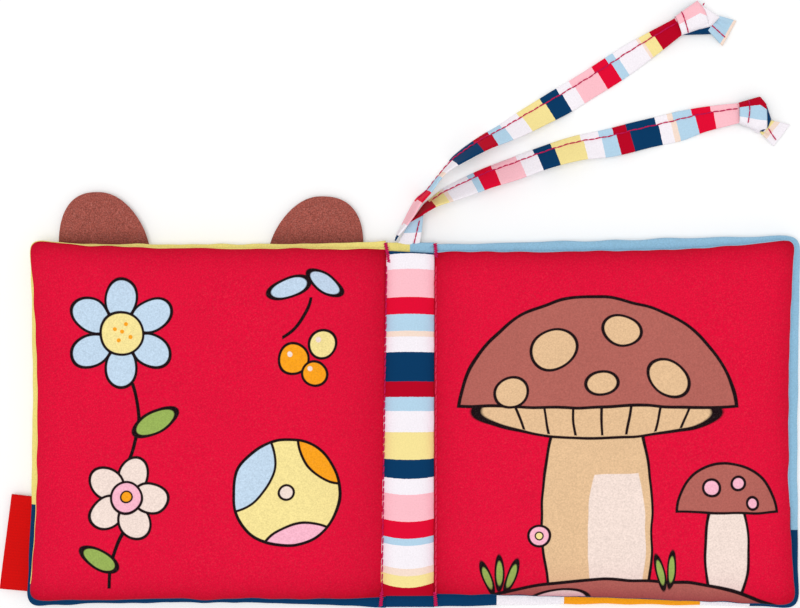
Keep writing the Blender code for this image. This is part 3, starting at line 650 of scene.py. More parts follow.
knots = {
    "upper": {
        "wrap": {"share": [-1, 0.5, 1], "high": [(674.8, 16.5), (697.0, 0.6), (703.8, 9.0)],
                 "low": [(681.6, 35.2), (701.5, 28.6), (708.6, 25.2)], "middle": 0.0034, "rise": 0.0031,
                 "fall": 0.22, "lean": 0.0, "seed": 11},
        "fold": {"share": [-1, 0, 1], "high": [(701.0, 5.0), (711.0, 11.5), (720.2, 16.8)],
                 "low": [(700.0, 29.5), (708.0, 27.4), (711.2, 26.4)], "middle": 0.0030, "rise": 0.0024,
                 "fall": 0.30, "lean": -0.0005, "seed": 12},
        "under": {"share": [-1, 0, 1], "high": [(684.0, 30.0), (698.0, 24.0), (710.5, 22.0)],
                  "low": [(683.0, 35.0), (697.0, 34.6), (711.0, 34.2)], "middle": 0.0020, "rise": 0.0015,
                  "fall": 0.30, "lean": 0.0, "seed": 13},
        "tail": {"neckHigh": (717.0, 16.0), "neckLow": (707.5, 31.0), "endHigh": (736.6, 20.8),
                 "endLow": (722.4, 46.0), "foldAt": 0.30, "foldDepth": 0.0013, "neckHeight": 0.0034,
                 "endHeight": 0.0016},
        "wrapBands": [("white", 1.0), ("pink", 6.6), ("white", 17.5), ("navy", 40.0)],
        "foldBands": [("white", 60.0)], "underBands": [("navy", 60.0)],
        "tailBands": [("paleBlue", 6.9), ("peach", 20.0)],
        "stitch": [((679.6, 13.0), (682.6, 21.0)), ((682.6, 21.0), (686.6, 34.5)),
                   ((702.6, 4.6), (701.0, 7.4))],
        "tailStitch": ((710.0, 26.0), (724.6, 38.0)),
    },
    "lower": {
        "wrap": {"share": [-1, 0.55, 1], "high": [(738.5, 102.6), (759.8, 96.4), (765.8, 103.6)],
                 "low": [(738.7, 123.4), (757.5, 131.5), (766.6, 129.0)], "middle": 0.0035, "rise": 0.0031,
                 "fall": 0.22, "lean": 0.0, "seed": 21},
        "fold": {"share": [-1, 0, 1], "high": [(757.0, 98.0), (766.5, 106.0), (771.2, 119.0)],
                 "low": [(754.0, 130.0), (762.5, 131.8), (767.5, 128.0)], "middle": 0.0030, "rise": 0.0024,
                 "fall": 0.30, "lean": -0.0005, "seed": 22},
        "under": {"share": [-1, 0, 1], "high": [(748.0, 121.0), (757.0, 122.0), (770.0, 119.5)],
                  "low": [(748.0, 126.8), (756.0, 132.6), (764.0, 134.0)], "middle": 0.0019, "rise": 0.0014,
                  "fall": 0.30, "lean": 0.0, "seed": 23},
        "tail": {"neckHigh": (770.0, 120.5), "neckLow": (759.5, 132.5), "endHigh": (790.0, 124.8),
                 "endLow": (773.4, 146.2), "foldAt": 0.72, "foldDepth": 0.0011, "neckHeight": 0.0032,
                 "endHeight": 0.0017},
        "wrapBands": [("crimson", 4.8), ("paleBlue", 10.2), ("white", 18.0), ("navy", 40.0)],
        "foldBands": [("navy", 60.0)], "underBands": [("white", 60.0)],
        "tailBands": [("lemon", 1.2), ("peach", 3.4), ("white", 20.0)],
        "stitch": [((746.8, 101.4), (747.3, 112.0)), ((747.3, 112.0), (745.6, 124.4))],
        "tailStitch": ((767.0, 129.0), (775.4, 140.4)),
    },
}


knotStitches = {"pitch": 0.0028, "length": 0.0027, "proud": 0.00008, "rise": 0.00012, "topFirst": 0.35}


# Stitches laid between two spots on a cloth: each point takes the height of the cloth's nearest point, with
# higher points counted nearer, plus a rise that falls off as 1 - t^2 toward the stitch's ends
def stitchesOn(cloth, first, last):
    s = knotStitches
    first, last = spot(*first), spot(*last)
    run = np.linalg.norm(last - first)
    count = max(1, round(run / s["pitch"]))
    t = np.linspace(-1, 1, 7)[None]
    lay = (np.arange(count)[:, None] + 0.5) / count + t / 2 * s["length"] / s["pitch"] / count
    lines = first + (last - first) * lay[..., None]
    top = cloth.reshape(-1, 3)
    away = np.linalg.norm(lines[:, :, None, :2] - top[None, None, :, :2], axis=-1)
    near = (away - s["topFirst"] * top[:, 2]).argmin(axis=-1)
    lines[..., 2] = top[near, 2] + s["proud"] + s["rise"] * (1 - t * t)
    return lines


# Tie: the ribbon with its seam stitches, and its knot's pieces, each with its own bands.
def makeTie(name, tie):
    ribbon, line, whole, stitches = tieRibbon(f"{name}TieRibbon", tie)
    closeEnds(ribbon, tieShape["ring"])
    fold = {"from": tieShape["width"] * tieShape["seamAt"], "shift": tieShape["foldShift"]}
    cloth = bandedCloth(f"{name}TieStripes", tie["bands"], tieShape["bandStretch"], fold, **ribbonWeave)
    dress(ribbon, tie["body"], cloth, [f"{name}_tie"])
    sewing = threadPiece(f"{name}TieStitches", stitches, tieShape["threadRadius"], blunt=0.5)
    dress(sewing, tie["body"], magentaThread)
    knot = knots[name]
    for part, nodes in (("wrap", [f"{name}_tie_knot"]), ("fold", ()), ("under", ())):
        piece, points = knotWrap(f"{name}Knot{part.capitalize()}", knot[part])
        if part == "wrap":
            lines = [stitchesOn(points, *run) for run in knot["stitch"]]
        cloth = bandedCloth(f"{name}Knot{part.capitalize()}Cloth", knot[f"{part}Bands"], **ribbonWeave)
        dress(piece, tie["body"], cloth, nodes)
    tail, points = knotTail(f"{name}TieTail", knot["tail"])
    lines.append(stitchesOn(points, *knot["tailStitch"]))
    cloth = bandedCloth(f"{name}TailCloth", knot["tailBands"], **ribbonWeave)
    dress(tail, tie["body"], cloth, [f"{name}_tie_tail"])
    knotSewing = threadPiece(f"{name}KnotStitches", np.concatenate(lines), tieShape["threadRadius"],
                             blunt=0.6)
    dress(knotSewing, tie["body"], magentaThread)


makeTie("upper", upperTie)
makeTie("lower", lowerTie)
print("cloth book: ties made")


# Leaves: two page leaves over two cover leaves, each a front and a back cloth over wadding

# The shapes, in metres. Width is from the stitch line to the fore edge. Head and tail each give the half
# height as (start, grow, power, dip), and the fore edge is drawn in by bow and leans by skew.
leaves = {
    "pageLeft": {"side": -1, "page": True, "width": 0.1505, "bow": 0.0038, "bowPower": 2.5, "skew": 0.0,
                 "head": (0.0737, 0.0038, 5, 0.0), "tail": (0.0739, 0.0012, 5, 0.0), "seed": 100},
    "pageRight": {"side": 1, "page": True, "width": 0.1524, "bow": 0.0032, "bowPower": 2.5, "skew": 0.0,
                  "head": (0.0724, 0.0058, 4, 0.0), "tail": (0.0722, 0.0047, 2, 0.0), "seed": 120},
    "coverLeft": {"side": -1, "page": False, "width": 0.1515, "bow": 0.0020, "bowPower": 2, "skew": 0.00075,
                  "head": (0.0767, 0.0, 1, 0.0011), "tail": (0.0782, -0.0006, 1, 0.0018), "seed": 140},
    "coverRight": {"side": 1, "page": False, "width": 0.1548, "bow": 0.0009, "bowPower": 2, "skew": -0.0004,
                   "head": (0.0753, 0.0040, 1, 0.0), "tail": (0.0777, 0.0006, 1, 0.0012), "seed": 160},
}
leafBodies = {"pageLeft": "page_left", "pageRight": "page_right", "coverLeft": "cover_left",
              "coverRight": "cover_right"}
padding = {"thickness": 0.0052, "pinch": 0.0011, "channel": 0.0005, "ramp": 0.034, "climb": 1.3,
           "roll": 0.010, "cornerPower": 3.9, "pageBack": 0.0055, "coverFront": 0.0052, "crown": 0.0010,
           "crownReach": 0.024, "stitchX": 0.0100}
puckers = {"seamGroove": 0.00022, "seamHeight": 0.00026, "seamReach": 0.0065, "seamWave": 0.00022,
           "stitchHeight": 0.00030, "stitchReach": 0.011, "slant": 0.00016, "slantReach": 0.020,
           "dents": 0.00016}


# Half the padding's thickness: half the pinch at the stitch line, and from the channel on it grows by
# rise * (1 - (1 - s / ramp) ^ climb)
def paddedHalf(s):
    left = np.clip(1 - (s - padding["channel"]) / padding["ramp"], 0, 1)
    climbed = 1 - left ** padding["climb"]
    return padding["pinch"] / 2 + (padding["thickness"] - padding["pinch"]) / 2 * climbed


# Middle half height of a leaf, on which its grid is laid out before leafPlan bends its outline
def leafHalf(leaf):
    return (leaf["head"][0] + leaf["tail"][0]) / 2


# Outline of a leaf. At a share of the way out its half height is start + grow * share ^ power
# - dip * 4 * share * (1 - share), and its fore edge is in by bow * (1 - |v| ^ bowPower) * share ^ 2
def leafPlan(leaf, s, v):
    share = np.clip(s / leaf["width"], 0, 1.01)
    headHalf, tailHalf = (start + grow * share ** power - dip * 4 * share * (1 - share)
                          for start, grow, power, dip in (leaf["head"], leaf["tail"]))
    drawnIn = (leaf["bow"] * (1 - np.abs(v) ** leaf["bowPower"]) + leaf["skew"] * v) * share ** 2
    return leaf["side"] * (padding["stitchX"] + s - drawnIn), v * np.where(v > 0, headHalf, tailHalf)


# Puckers: waves that run in from the seams and the stitches and die out as exp(-distance / reach), slanted
# creases by the spine, and shallow dents over the field
def puckerRise(leaf, s, y, number, pressed):
    p, seed = puckers, leaf["seed"] + number
    edgeFore, edgeHead = leaf["width"] - s, leafHalf(leaf) - np.abs(y)
    soft = p["seamReach"] * (0.7 + 0.6 * ease((waves(s, y, 0.02, 0.05, seed + 3) + 1) / 2))
    rise = p["seamHeight"] * (waves(s, 0 * s, 0.005, 0.016, seed) * np.exp(-edgeHead / soft) * ease(s / 0.008)
                              + waves(y, 0 * y, 0.005, 0.016, seed + 1) * np.exp(-edgeFore / soft))
    rise = rise + p["stitchHeight"] * waves(y, 0.25 * s, 0.006, 0.018, seed + 2) \
        * np.exp(-s / p["stitchReach"]) * ease(s / 0.008)
    bend = waves(s, y, 0.03, 0.07, seed + 5)
    for way in (-1, 1):
        rise = rise + p["slant"] * np.sin(2 * math.pi * (y + way * 0.9 * s) / 0.0115 + 2.2 * bend + way) \
            * np.exp(-s / p["slantReach"]) * ease(s / 0.006) \
            * ease(0.5 + way * waves(s, y, 0.03, 0.06, seed + 6))
    rise = rise + p["dents"] * waves(s, y, 0.018, 0.055, seed + 4) * ease(s / 0.03)
    return 0.3 * rise - 0.00012 if pressed else rise


# Cloth of a leaf. Across and along it lies flat up to the rim, then turns about the rim by an angle:
# its place goes out by roll * sin(angle) and its height is the middle plane +- padding * cos(angle).
# In a corner the square (a, b) is drawn onto the blunt disc |A| ^ q + |B| ^ q = 1 by
# A = a * (1 - b ^ q / 2) ^ (1 / q). The upper cloth of a page also has a low crown over its field.
def leafCloth(leaf, top, endAngle, number=0, spacing=0.0016, start=0.0002, inset=0.0, loft=1.0):
    roll, width, half = padding["roll"], leaf["width"] - inset, leafHalf(leaf) - inset
    turnSteps, nearSteps, nearReach = 16, 12, 0.012  # rows round the rim, and closer ones by the stitch line
    turns = endAngle * np.linspace(0, 1, turnSteps + 1)[1:]
    near = np.linspace(start, start + nearReach, nearSteps)
    field = np.linspace(near[-1], width - roll, int((width - roll) / spacing))[1:]
    s0 = np.concatenate([near, field, np.full(turnSteps, width - roll)])
    a = np.concatenate([np.zeros(len(near) + len(field)), turns]) / endAngle
    rows = np.linspace(-(half - roll), half - roll, int(2 * (half - roll) / spacing))
    y0 = np.concatenate([np.full(turnSteps, rows[0]), rows, np.full(turnSteps, rows[-1])])
    b = np.concatenate([-turns[::-1], np.zeros(len(rows)), turns]) / endAngle
    s0, a = np.broadcast_to(s0, (len(y0), len(s0))), np.broadcast_to(a, (len(y0), len(a)))
    y0, b = np.broadcast_to(y0[:, None], s0.shape), np.broadcast_to(b[:, None], s0.shape)
    q = padding["cornerPower"]
    discA, discB = a * (1 - np.abs(b) ** q / 2) ** (1 / q), b * (1 - np.abs(a) ** q / 2) ** (1 / q)
    reach = (np.abs(discA) ** q + np.abs(discB) ** q) ** (1 / q)
    angle = reach * endAngle
    safe = np.maximum(reach, 1e-9)
    outA, outB = discA / safe, discB / safe
    s = s0 + roll * np.sin(angle) * outA
    y = y0 + roll * np.sin(angle) * outB
    up = 1 if top else -1
    loftHalf = paddedHalf(s) * loft
    if inset:
        loftHalf = loftHalf * np.sqrt(ease((s - start) / 0.005))
    middle = padding["pageBack"] + paddedHalf(s) if leaf["page"] else padding["coverFront"] - paddedHalf(s)
    height = middle + up * loftHalf * np.cos(angle)
    if not inset:
        if leaf["page"] and top:
            along = np.clip((half - np.abs(y)) / padding["crownReach"], 0, 1)
            across = ease(s / 0.04) * ease((width - s) / padding["crownReach"])
            height = height + padding["crown"] * np.sqrt(along * (2 - along)) * across
        rim = reach ** 4
        rise = puckerRise(leaf, s, y, number, pressed=not (leaf["page"] and top)) * (1 - rim)
        rise = rise - puckers["seamGroove"] * np.exp(-((angle - endAngle) / 0.16) ** 2)
        rise = rise + puckers["seamWave"] * waves(s + y, s - y, 0.012, 0.045, leaf["seed"] + 7) * rim
        outward = np.stack([np.sin(angle) * outA, np.sin(angle) * outB, up * np.cos(angle)], axis=-1)
        s, y, height = (base + rise * outward[..., k] for k, base in enumerate((s, y, height)))
        height = np.maximum(height, 0.0001)
    x, y = leafPlan(leaf, s, y / leafHalf(leaf))
    return np.stack([x + spineX, y + spineY, height], axis=-1)


inkSoft = 0.28  # millimetres over which a printed border fades


# Drawing on cloth: shapes are distances in millimetres from a place, below zero inside; each is laid over
# the last as a dark line with its fill inside, with edges wavering as ink does on woven cotton
class Drawing:
    # The place in millimetres, on which each point drifts by up to 1.6, so that no line is quite even
    def __init__(self, recipe, where, ground):
        self.recipe, self.colour = recipe, ground
        flat = recipe.arrow("MULTIPLY", where, (1000.0, 1000.0, 0.0))
        drift = recipe.arrow("SUBTRACT", recipe.noise(flat, 0.045, 1.0, colour=True), (0.5, 0.5, 0.5))
        self.where = recipe.arrow("MULTIPLY_ADD", drift, (3.2, 3.2, 0.0), flat)

    # The place seen from a shape's own middle, turned and stretched to the shape
    def turned(self, x, y, turn, stretch=(1, 1)):
        node = self.recipe.add("ShaderNodeMapping", vector_type="TEXTURE")
        self.recipe.feed(node.inputs["Vector"], self.where)
        node.inputs["Location"].default_value = (x, y, 0)
        node.inputs["Rotation"].default_value = (0, 0, math.radians(turn))
        node.inputs["Scale"].default_value = (*stretch, 1)
        return node.outputs["Vector"]

    # Disc: distance from the middle - radius
    def disc(self, x, y, radius):
        return self.recipe.number("SUBTRACT", self.recipe.arrow("DISTANCE", self.where, (x, y, 0)), radius)

    # Oval: (length of the place over its half sizes - 1) * the smaller half size
    def oval(self, x, y, wide, tall, turn=0):
        away = self.recipe.arrow("LENGTH", self.turned(x, y, turn, (wide, tall)))
        return self.recipe.number("MULTIPLY", self.recipe.number("SUBTRACT", away, 1.0), min(wide, tall))

    # Slab: the larger of |x| - half width and |y| - half height
    def slab(self, x, y, halfWide, halfTall, turn=0):
        place = self.recipe.arrow("ABSOLUTE", self.turned(x, y, turn))
        across, along, _ = self.recipe.split(self.recipe.arrow("SUBTRACT", place, (halfWide, halfTall, 0)))
        return self.recipe.number("MAXIMUM", across, along)

    # Where two shapes overlap: the larger of their distances
    def both(self, a, b):
        return self.recipe.number("MAXIMUM", a, b)

    # Lays a shape on: a dark line along its border, and its fill inside the line. Each covers the ground by
    # 0.5 - (distance -+ line / 2) / inkSoft, held between 0 and 1.
    def lay(self, distance, colour, line=1.1):
        recipe, half = self.recipe, line / 2 / inkSoft
        if line:
            cover = recipe.number("MULTIPLY_ADD", distance, -1 / inkSoft, 0.5 + half, clamp=True)
            self.colour = recipe.mix(cover, self.colour, dyes["outline"])
        cover = recipe.number("MULTIPLY_ADD", distance, -1 / inkSoft, 0.5 - half, clamp=True)
        self.colour = recipe.mix(cover, self.colour, dyes[colour])

    # Lays a dark line of a width along a shape's border, where that lies within another shape
    def stroke(self, distance, width, within):
        recipe = self.recipe
        away = recipe.number("SUBTRACT", recipe.number("ABSOLUTE", distance), width / 2)
        cover = recipe.number("MULTIPLY_ADD", self.both(away, within), -1 / inkSoft, 0.5, clamp=True)
        self.colour = recipe.mix(cover, self.colour, dyes["outline"])


# Petals: ovals at even turns on a ring round a middle, each pointing outward
def petals(drawing, x, y, count, ring, wide, tall, colour, start=90):
    for k in range(count):
        turn = start + 360 / count * k
        angle = math.radians(turn)
        petal = drawing.oval(x + ring * math.cos(angle), y + ring * math.sin(angle), wide, tall, turn)
        drawing.lay(petal, colour)


# The tint is painted shade: it darkens the red toward the seams and in the channel beside the spine
pageWeave = {"speckle": 0.17, "lint": 0.045, "tint": (0.56, 0.16, 0.34, 1)}


# Left page: flowers, a play ball and a few berries on red
def leftPagePrint():
    recipe = Recipe("leftPageRedPrint")
    where = recipe.place("object")
    art = Drawing(recipe, where, dyes["pageRed"])
    # blue flower, upper left
    art.stroke(art.disc(-152, -6, 42), 1.6, art.slab(-108, -14, 8, 22))
    art.lay(art.oval(-103, -8, 10, 4.6, 30), "grass")
    petals(art, -117, 29, 6, 14.5, 8.6, 6.6, "wing")
    art.lay(art.disc(-117, 29, 9.2), "lemon")
    for x, y in ((-120, 31), (-115, 33), (-113.5, 27.5), (-118.5, 26), (-117, 29.8)):
        art.lay(art.disc(x, y, 0.9), "orange", line=0)
    # play ball with curved panels, lower right
    ball = art.disc(-48, -38, 22.5)
    art.lay(ball, "lemon", line=1.3)
    art.lay(art.both(art.disc(-75, -24, 22), ball), "wing", line=1.1)
    art.lay(art.both(art.disc(-25, -16, 18), ball), "orange", line=1.1)
    art.lay(art.both(art.disc(-40, -72, 21), ball), "cheek", line=1.1)
    art.lay(art.disc(-48, -38, 3.0), "cream", line=1.0)
    # cream flower, lower left
    art.stroke(art.disc(-70, -78, 52), 1.6, art.slab(-119, -66, 6, 12))
    art.lay(art.oval(-126, -66, 8.5, 4, -28), "grass")
    petals(art, -115, -40, 5, 10.2, 7.4, 6.4, "cream", start=72)
    art.lay(art.disc(-115, -40, 6.6), "cheek")
    art.lay(art.disc(-115, -40, 2.4), "orange", line=0.7)
    # berries, upper right
    art.stroke(art.disc(-60, 46, 22), 1.3, art.slab(-42, 30, 8, 14))
    art.lay(art.oval(-47, 48, 8.4, 4.0, 18), "wing")
    art.lay(art.oval(-32, 50, 8.0, 3.8, 150), "wing")
    for x, y, r, colour in ((-45, 18, 6.4, "orange"), (-33, 24, 5.6, "lemon"), (-36, 12, 5.2, "orange")):
        art.lay(art.disc(x, y, r), colour)
        art.lay(art.disc(x - 1.8, y + 2.0, 1.1), "cream", line=0)
    return weaveCloth(recipe, where, art.colour, **pageWeave)


# Right page: a tall toadstool with a smaller one beside it, on a brown mound
def rightPagePrint():
    recipe = Recipe("rightPageRedPrint")
    where = recipe.place("object")
    art = Drawing(recipe, where, dyes["pageRed"])
    # stem
    stem = art.both(art.oval(82, -50, 23, 62), art.slab(82, -50, 40, 36))
    art.lay(stem, "tan")
    art.lay(art.both(art.oval(90, -56, 12, 40), art.slab(90, -56, 40, 26)), "cream", line=0)
    # cap, its gills and its spots
    cap = art.both(art.oval(82, -6, 58, 50), art.slab(82, 44, 80, 46))
    gills = art.oval(82, -4, 50, 11)
    art.lay(gills, "tan")
    for x in (-34, -22, -10, 2, 14, 26, 38):
        art.stroke(art.slab(82 + x * 0.95, -8, 0.1, 7, -x * 0.6), 0.9, art.oval(82, -4, 49, 10))
    art.lay(cap, "brown", line=1.3)
    for x, y, wide, tall, turn in ((64, 22, 10, 8, 20), (92, 30, 8, 6.6, -10), (112, 10, 9.5, 7, -35),
                                   (46, 4, 7, 6, 40), (84, 8, 6.6, 5, 0)):
        art.lay(art.oval(x, y, wide, tall, turn), "tan")
    # small toadstool
    art.lay(art.both(art.oval(136, -62, 9, 26), art.slab(136, -62, 20, 20)), "cream")
    art.lay(art.both(art.oval(136, -46, 21, 20), art.slab(136, -28, 30, 18)), "brown")
    for x, y, r in ((130, -36, 3.4), (141, -34, 2.8), (147, -42, 2.4)):
        art.lay(art.disc(x, y, r), "cheek")
    # mound and tufts
    art.lay(art.oval(92, -104, 82, 30), "brown", line=1.3)
    art.lay(art.oval(66, -84, 13, 5.6, 8), "cream", line=1.0)
    for x, y, turn in ((36, -74, 110), (41, -72, 90), (46, -73, 70), (108, -71, 105), (113, -70, 84)):
        art.lay(art.oval(x, y, 6.5, 1.7, turn), "grass", line=0.8)
    art.lay(art.disc(58, -56, 4.4), "cheek")
    art.lay(art.disc(58, -56, 1.6), "lemon", line=0.6)
    return weaveCloth(recipe, where, art.colour, **pageWeave)


groundWave = {"height": 2.4, "turn": 0.045, "sharp": 4.0}  # in millimetres, and to a millimetre


# Ground cloths: a plain sky over a navy ground whose edge rolls as height * sin(x * turn). One has another
# sky beyond a place across, and one has blocks that stand in its ground.
def groundCloth(name, sky, groundLevel, patches=(), other=None):
    g, recipe = groundWave, Recipe(name)
    where = recipe.place("object")
    x, y, _ = recipe.split(recipe.arrow("MULTIPLY", where, (1000.0, 1000.0, 1000.0)))
    colour = dyes[sky]
    if other:
        colour = recipe.mix(recipe.number("GREATER_THAN", x, other["from"]), colour, dyes[other["colour"]])
    swell = recipe.number("SINE", recipe.number("MULTIPLY", x, g["turn"]))
    swell = recipe.number("MULTIPLY", swell, g["height"])
    above = recipe.number("SUBTRACT", recipe.number("ADD", y, swell), groundLevel)
    cover = recipe.number("MULTIPLY_ADD", above, -g["sharp"], 0.5, clamp=True)
    colour = recipe.mix(cover, colour, dyes["navy"])
    for low, high, top, patch in patches:
        left, right = recipe.number("GREATER_THAN", x, low), recipe.number("LESS_THAN", x, high)
        block = recipe.number("MULTIPLY", left, right)
        block = recipe.number("MULTIPLY", block, recipe.number("LESS_THAN", y, top))
        colour = recipe.mix(block, colour, dyes[patch])
    return weaveCloth(recipe, where, colour)


# Each block is its left and right end, its top and its dye
blocks = [(40.2, 68.6, -60, "white"), (68.6, 126.0, -60, "orange"), (126.0, 146.9, -60, "white")]
clothes = {
    "leftPage": leftPagePrint(), "rightPage": rightPagePrint(),
    "leftPageBack": groundCloth("leftPageBackCloth", "coverYellow", -78.0),
    "rightPageBack": groundCloth("rightPageBackCloth", "coverBlue", -42.0),
    "coverLeft": groundCloth("leftCoverCloth", "coverYellow", -45.0),
    "coverRight": groundCloth("rightCoverCloth", "coverBlue", -52.0, blocks),
    "coverSpine": groundCloth("coverSpineCloth", "coverYellow", -60.0,
                              other={"from": 3.65, "colour": "coverBlue"}),
}

# Each cloth is its name, its leaf, whether it is the upper one, the angle in degrees that its rim turns
# through, its finish, its slot and the panel that it stands for
leafCloths = [
    ("leftPageFront", "pageLeft", True, 79, "leftPage", "red_cotton", "front_panel"),
    ("leftPageBack", "pageLeft", False, 101, "leftPageBack", "yellow_cotton", "back_panel"),
    ("rightPageFront", "pageRight", True, 79, "rightPage", "red_cotton", "front_panel"),
    ("rightPageBack", "pageRight", False, 101, "rightPageBack", "blue_cotton", "back_panel"),
    ("leftCoverLining", "coverLeft", True, 90, "coverLeft", "yellow_cotton", "lining_panel"),
    ("leftCoverOuter", "coverLeft", False, 90, "coverLeft", "yellow_cotton", "outer_panel"),
    ("rightCoverLining", "coverRight", True, 90, "coverRight", "blue_cotton", "lining_panel"),
    ("rightCoverOuter", "coverRight", False, 90, "coverRight", "blue_cotton", "outer_panel"),
]


# Painted shade of a page, darker toward its seams and beside the spine: the sum over these of depth *
# exp(-distance / reach), held between 0 and 1
def paintedRimShade(points, shadeDepth):
    x, y = points[..., 0], points[..., 1]
    value = shadeDepth["head"] * np.exp(-np.abs(points[-1:, :, 1] - y) / shadeDepth["reach"]) \
        + shadeDepth["tail"] * np.exp(-np.abs(y - points[:1, :, 1]) / shadeDepth["reach"]) \
        + shadeDepth["fore"] * np.exp(-np.abs(points[:, -1:, 0] - x) / shadeDepth["reach"]) \
        + shadeDepth["spine"] * np.exp(-np.abs(x - points[:, :1, 0]) / shadeDepth["spineReach"])
    return np.clip(value, 0, 1)


# Painted shade depth at each seam and at the spine, and the reach over which it fades
paintedRimShades = {"leftPageFront": {"head": 0.72, "tail": 0.85, "fore": 0.26, "spine": 0.60, "reach": 0.0046,
                          "spineReach": 0.0084},
        "rightPageFront": {"head": 0.72, "tail": 0.70, "fore": 0.50, "spine": 0.55, "reach": 0.0046,
                           "spineReach": 0.0060}}
clothWall, backPuckers = 0.00035, 10  # a cloth's thickness, and how far a back's pucker seed is ahead


# Leaves: every cloth is its own sheet, and a page's front also keeps its painted rim shade for its finish
def makeLeaves():
    for name, leafName, top, rimAngle, cloth, slot, panel in leafCloths:
        body = leafBodies[leafName]
        points = leafCloth(leaves[leafName], top, math.radians(rimAngle), 0 if top else backPuckers)
        piece = gridPiece(name, points, toward=(0, 0, 1 if top else -1), wall=clothWall)
        if name in paintedRimShades:
            keepPaintedShade(piece, paintedRimShade(points, paintedRimShades[name]))
        dress(piece, body, clothes[cloth], [f"{body}_{panel}"])


makeLeaves()
print("cloth book: leaves made")


# Inside the leaves: wadding, and a sheet of crinkle film next to the page's front or the cover's outer cloth

# A closed pad: an upper and a lower grid that share their border
def closedPad(name, upper, lower):
    rows, columns = upper.shape[:2]
    inner = np.arange(rows * columns).reshape(rows, columns)
    inner[1:-1, 1:-1] = rows * columns + np.arange((rows - 2) * (columns - 2)).reshape(rows - 2, columns - 2)
    faces = gridFaces(rows, columns)
    below = inner.reshape(-1)[faces][:, ::-1]
    points = np.concatenate([upper.reshape(-1, 3), lower[1:-1, 1:-1].reshape(-1, 3)])
    return makePiece(name, points, np.concatenate([faces, below]))


# Batting: loose fibres as noise stretched along y, over soft lumps; the fibres are the paler part
def battingFinish():
    recipe = Recipe("batting", roughness=1.0, sheen=0.4, specular=0.1)
    where = recipe.place("object")
    fibre = recipe.noise(recipe.arrow("MULTIPLY", where, (1.0, 0.15, 1.0)), 1400, 4.0)
    lump = recipe.number("MULTIPLY", recipe.noise(where, 180, 2.0), 0.6)
    recipe.bump(recipe.number("MULTIPLY_ADD", fibre, 0.25, lump))
    colour = recipe.mix(fibre, dyes["battingShade"], dyes["batting"])
    recipe.feed(recipe.shader.inputs["Base Color"], colour)
    return recipe.material


# Film: crisp creases as the borders of cells, on a glossy pale grey
def filmFinish():
    recipe = Recipe("crinkleFilm", roughness=0.22, sheen=0.0, specular=0.6)
    where = recipe.place("object")
    bent = recipe.arrow("ADD", where, recipe.scaled(recipe.noise(where, 90, 2.0, colour=True), 0.006))
    cells = recipe.add("ShaderNodeTexVoronoi", feature="DISTANCE_TO_EDGE")
    recipe.feed(cells.inputs["Vector"], bent)
    cells.inputs["Scale"].default_value = 120
    recipe.bump(recipe.number("MULTIPLY", cells.outputs["Distance"], 1.6))
    colour = recipe.mix(recipe.noise(where, 70), dyes["film"], dyes["filmPale"])
    recipe.feed(recipe.shader.inputs["Base Color"], colour)
    return recipe.material


# The covers' film comes through their outer cloth in a few small spots: filmLoft is likely too full for them
filling = {"inset": 0.0028, "start": 0.0122, "loft": 0.78, "spacing": 0.0032, "rimAngle": 90,
           "filmInset": 0.0045, "filmLoft": 0.86, "filmAngle": 50, "filmWall": 0.00012, "crease": 0.00008,
           "creaseSeed": 400}


# Fillings: a leaf's own shape, set in from its seams by inset and loft times as thick. The film is one side
# of such a shape, raised by crease * |soft waves|.
def makeInsides():
    f, batting, film = filling, battingFinish(), filmFinish()
    for number, (leafName, leaf) in enumerate(leaves.items()):
        body = leafBodies[leafName]
        upper, lower = (leafCloth(leaf, top, math.radians(f["rimAngle"]), 0, f["spacing"], f["start"],
                                  f["inset"], f["loft"]) for top in (True, False))
        pad = closedPad(f"{leafName}Wadding", upper, lower)
        dress(pad, body, batting, [f"{body}_wadding"])
        spread = leafCloth(leaf, leaf["page"], math.radians(f["filmAngle"]), 0, f["spacing"], f["start"],
                           f["filmInset"], f["filmLoft"])
        creases = waves(spread[..., 0], spread[..., 1], 0.006, 0.018, f["creaseSeed"] + number)
        spread[..., 2] += f["crease"] * np.abs(creases)
        sheet = gridPiece(f"{leafName}Film", spread, toward=(0, 0, 1), wall=f["filmWall"])
        dress(sheet, body, film, [f"{body}_crinkle_film"])


makeInsides()
print("cloth book: wadding and film made")


# Spine: the striped strip over the pages' fold, and the cover cloth under it

# The tint is painted shade with painted red light from the pages, which the strip's edges take
spineStrip = {"left": -0.00620, "right": 0.01395, "head": 0.0634, "tail": -0.0817, "endRoll": 0.0032,
              "edge": 0.00685, "crown": 0.0009, "back": 0.0055, "slant": -0.0010,
              "spread": (-0.0025, -0.0003), "tint": (0.88, 0.64, 0.70, 1), "bow": 0.0007, "tailBow": 0.0010,
              "lastBow": 0.0005}
stripBands = [("navy", 1.6), ("white", 7.7), ("pink", 19.4), ("stripeRed", 26.4), ("paleBlue", 33.9),
              ("peach", 36.0), ("white", 42.7), ("navy", 54.6), ("crimson", 61.1), ("paleBlue", 67.1),
              ("white", 75.6), ("lemon", 87.2), ("navy", 94.4), ("white", 101.3), ("pink", 112.4),
              ("stripeRed", 119.1), ("paleBlue", 122.4), ("white", 131.3), ("peach", 134.6), ("lemon", 138.9),
              ("crimson", 150.0)]


spineColumns = 34


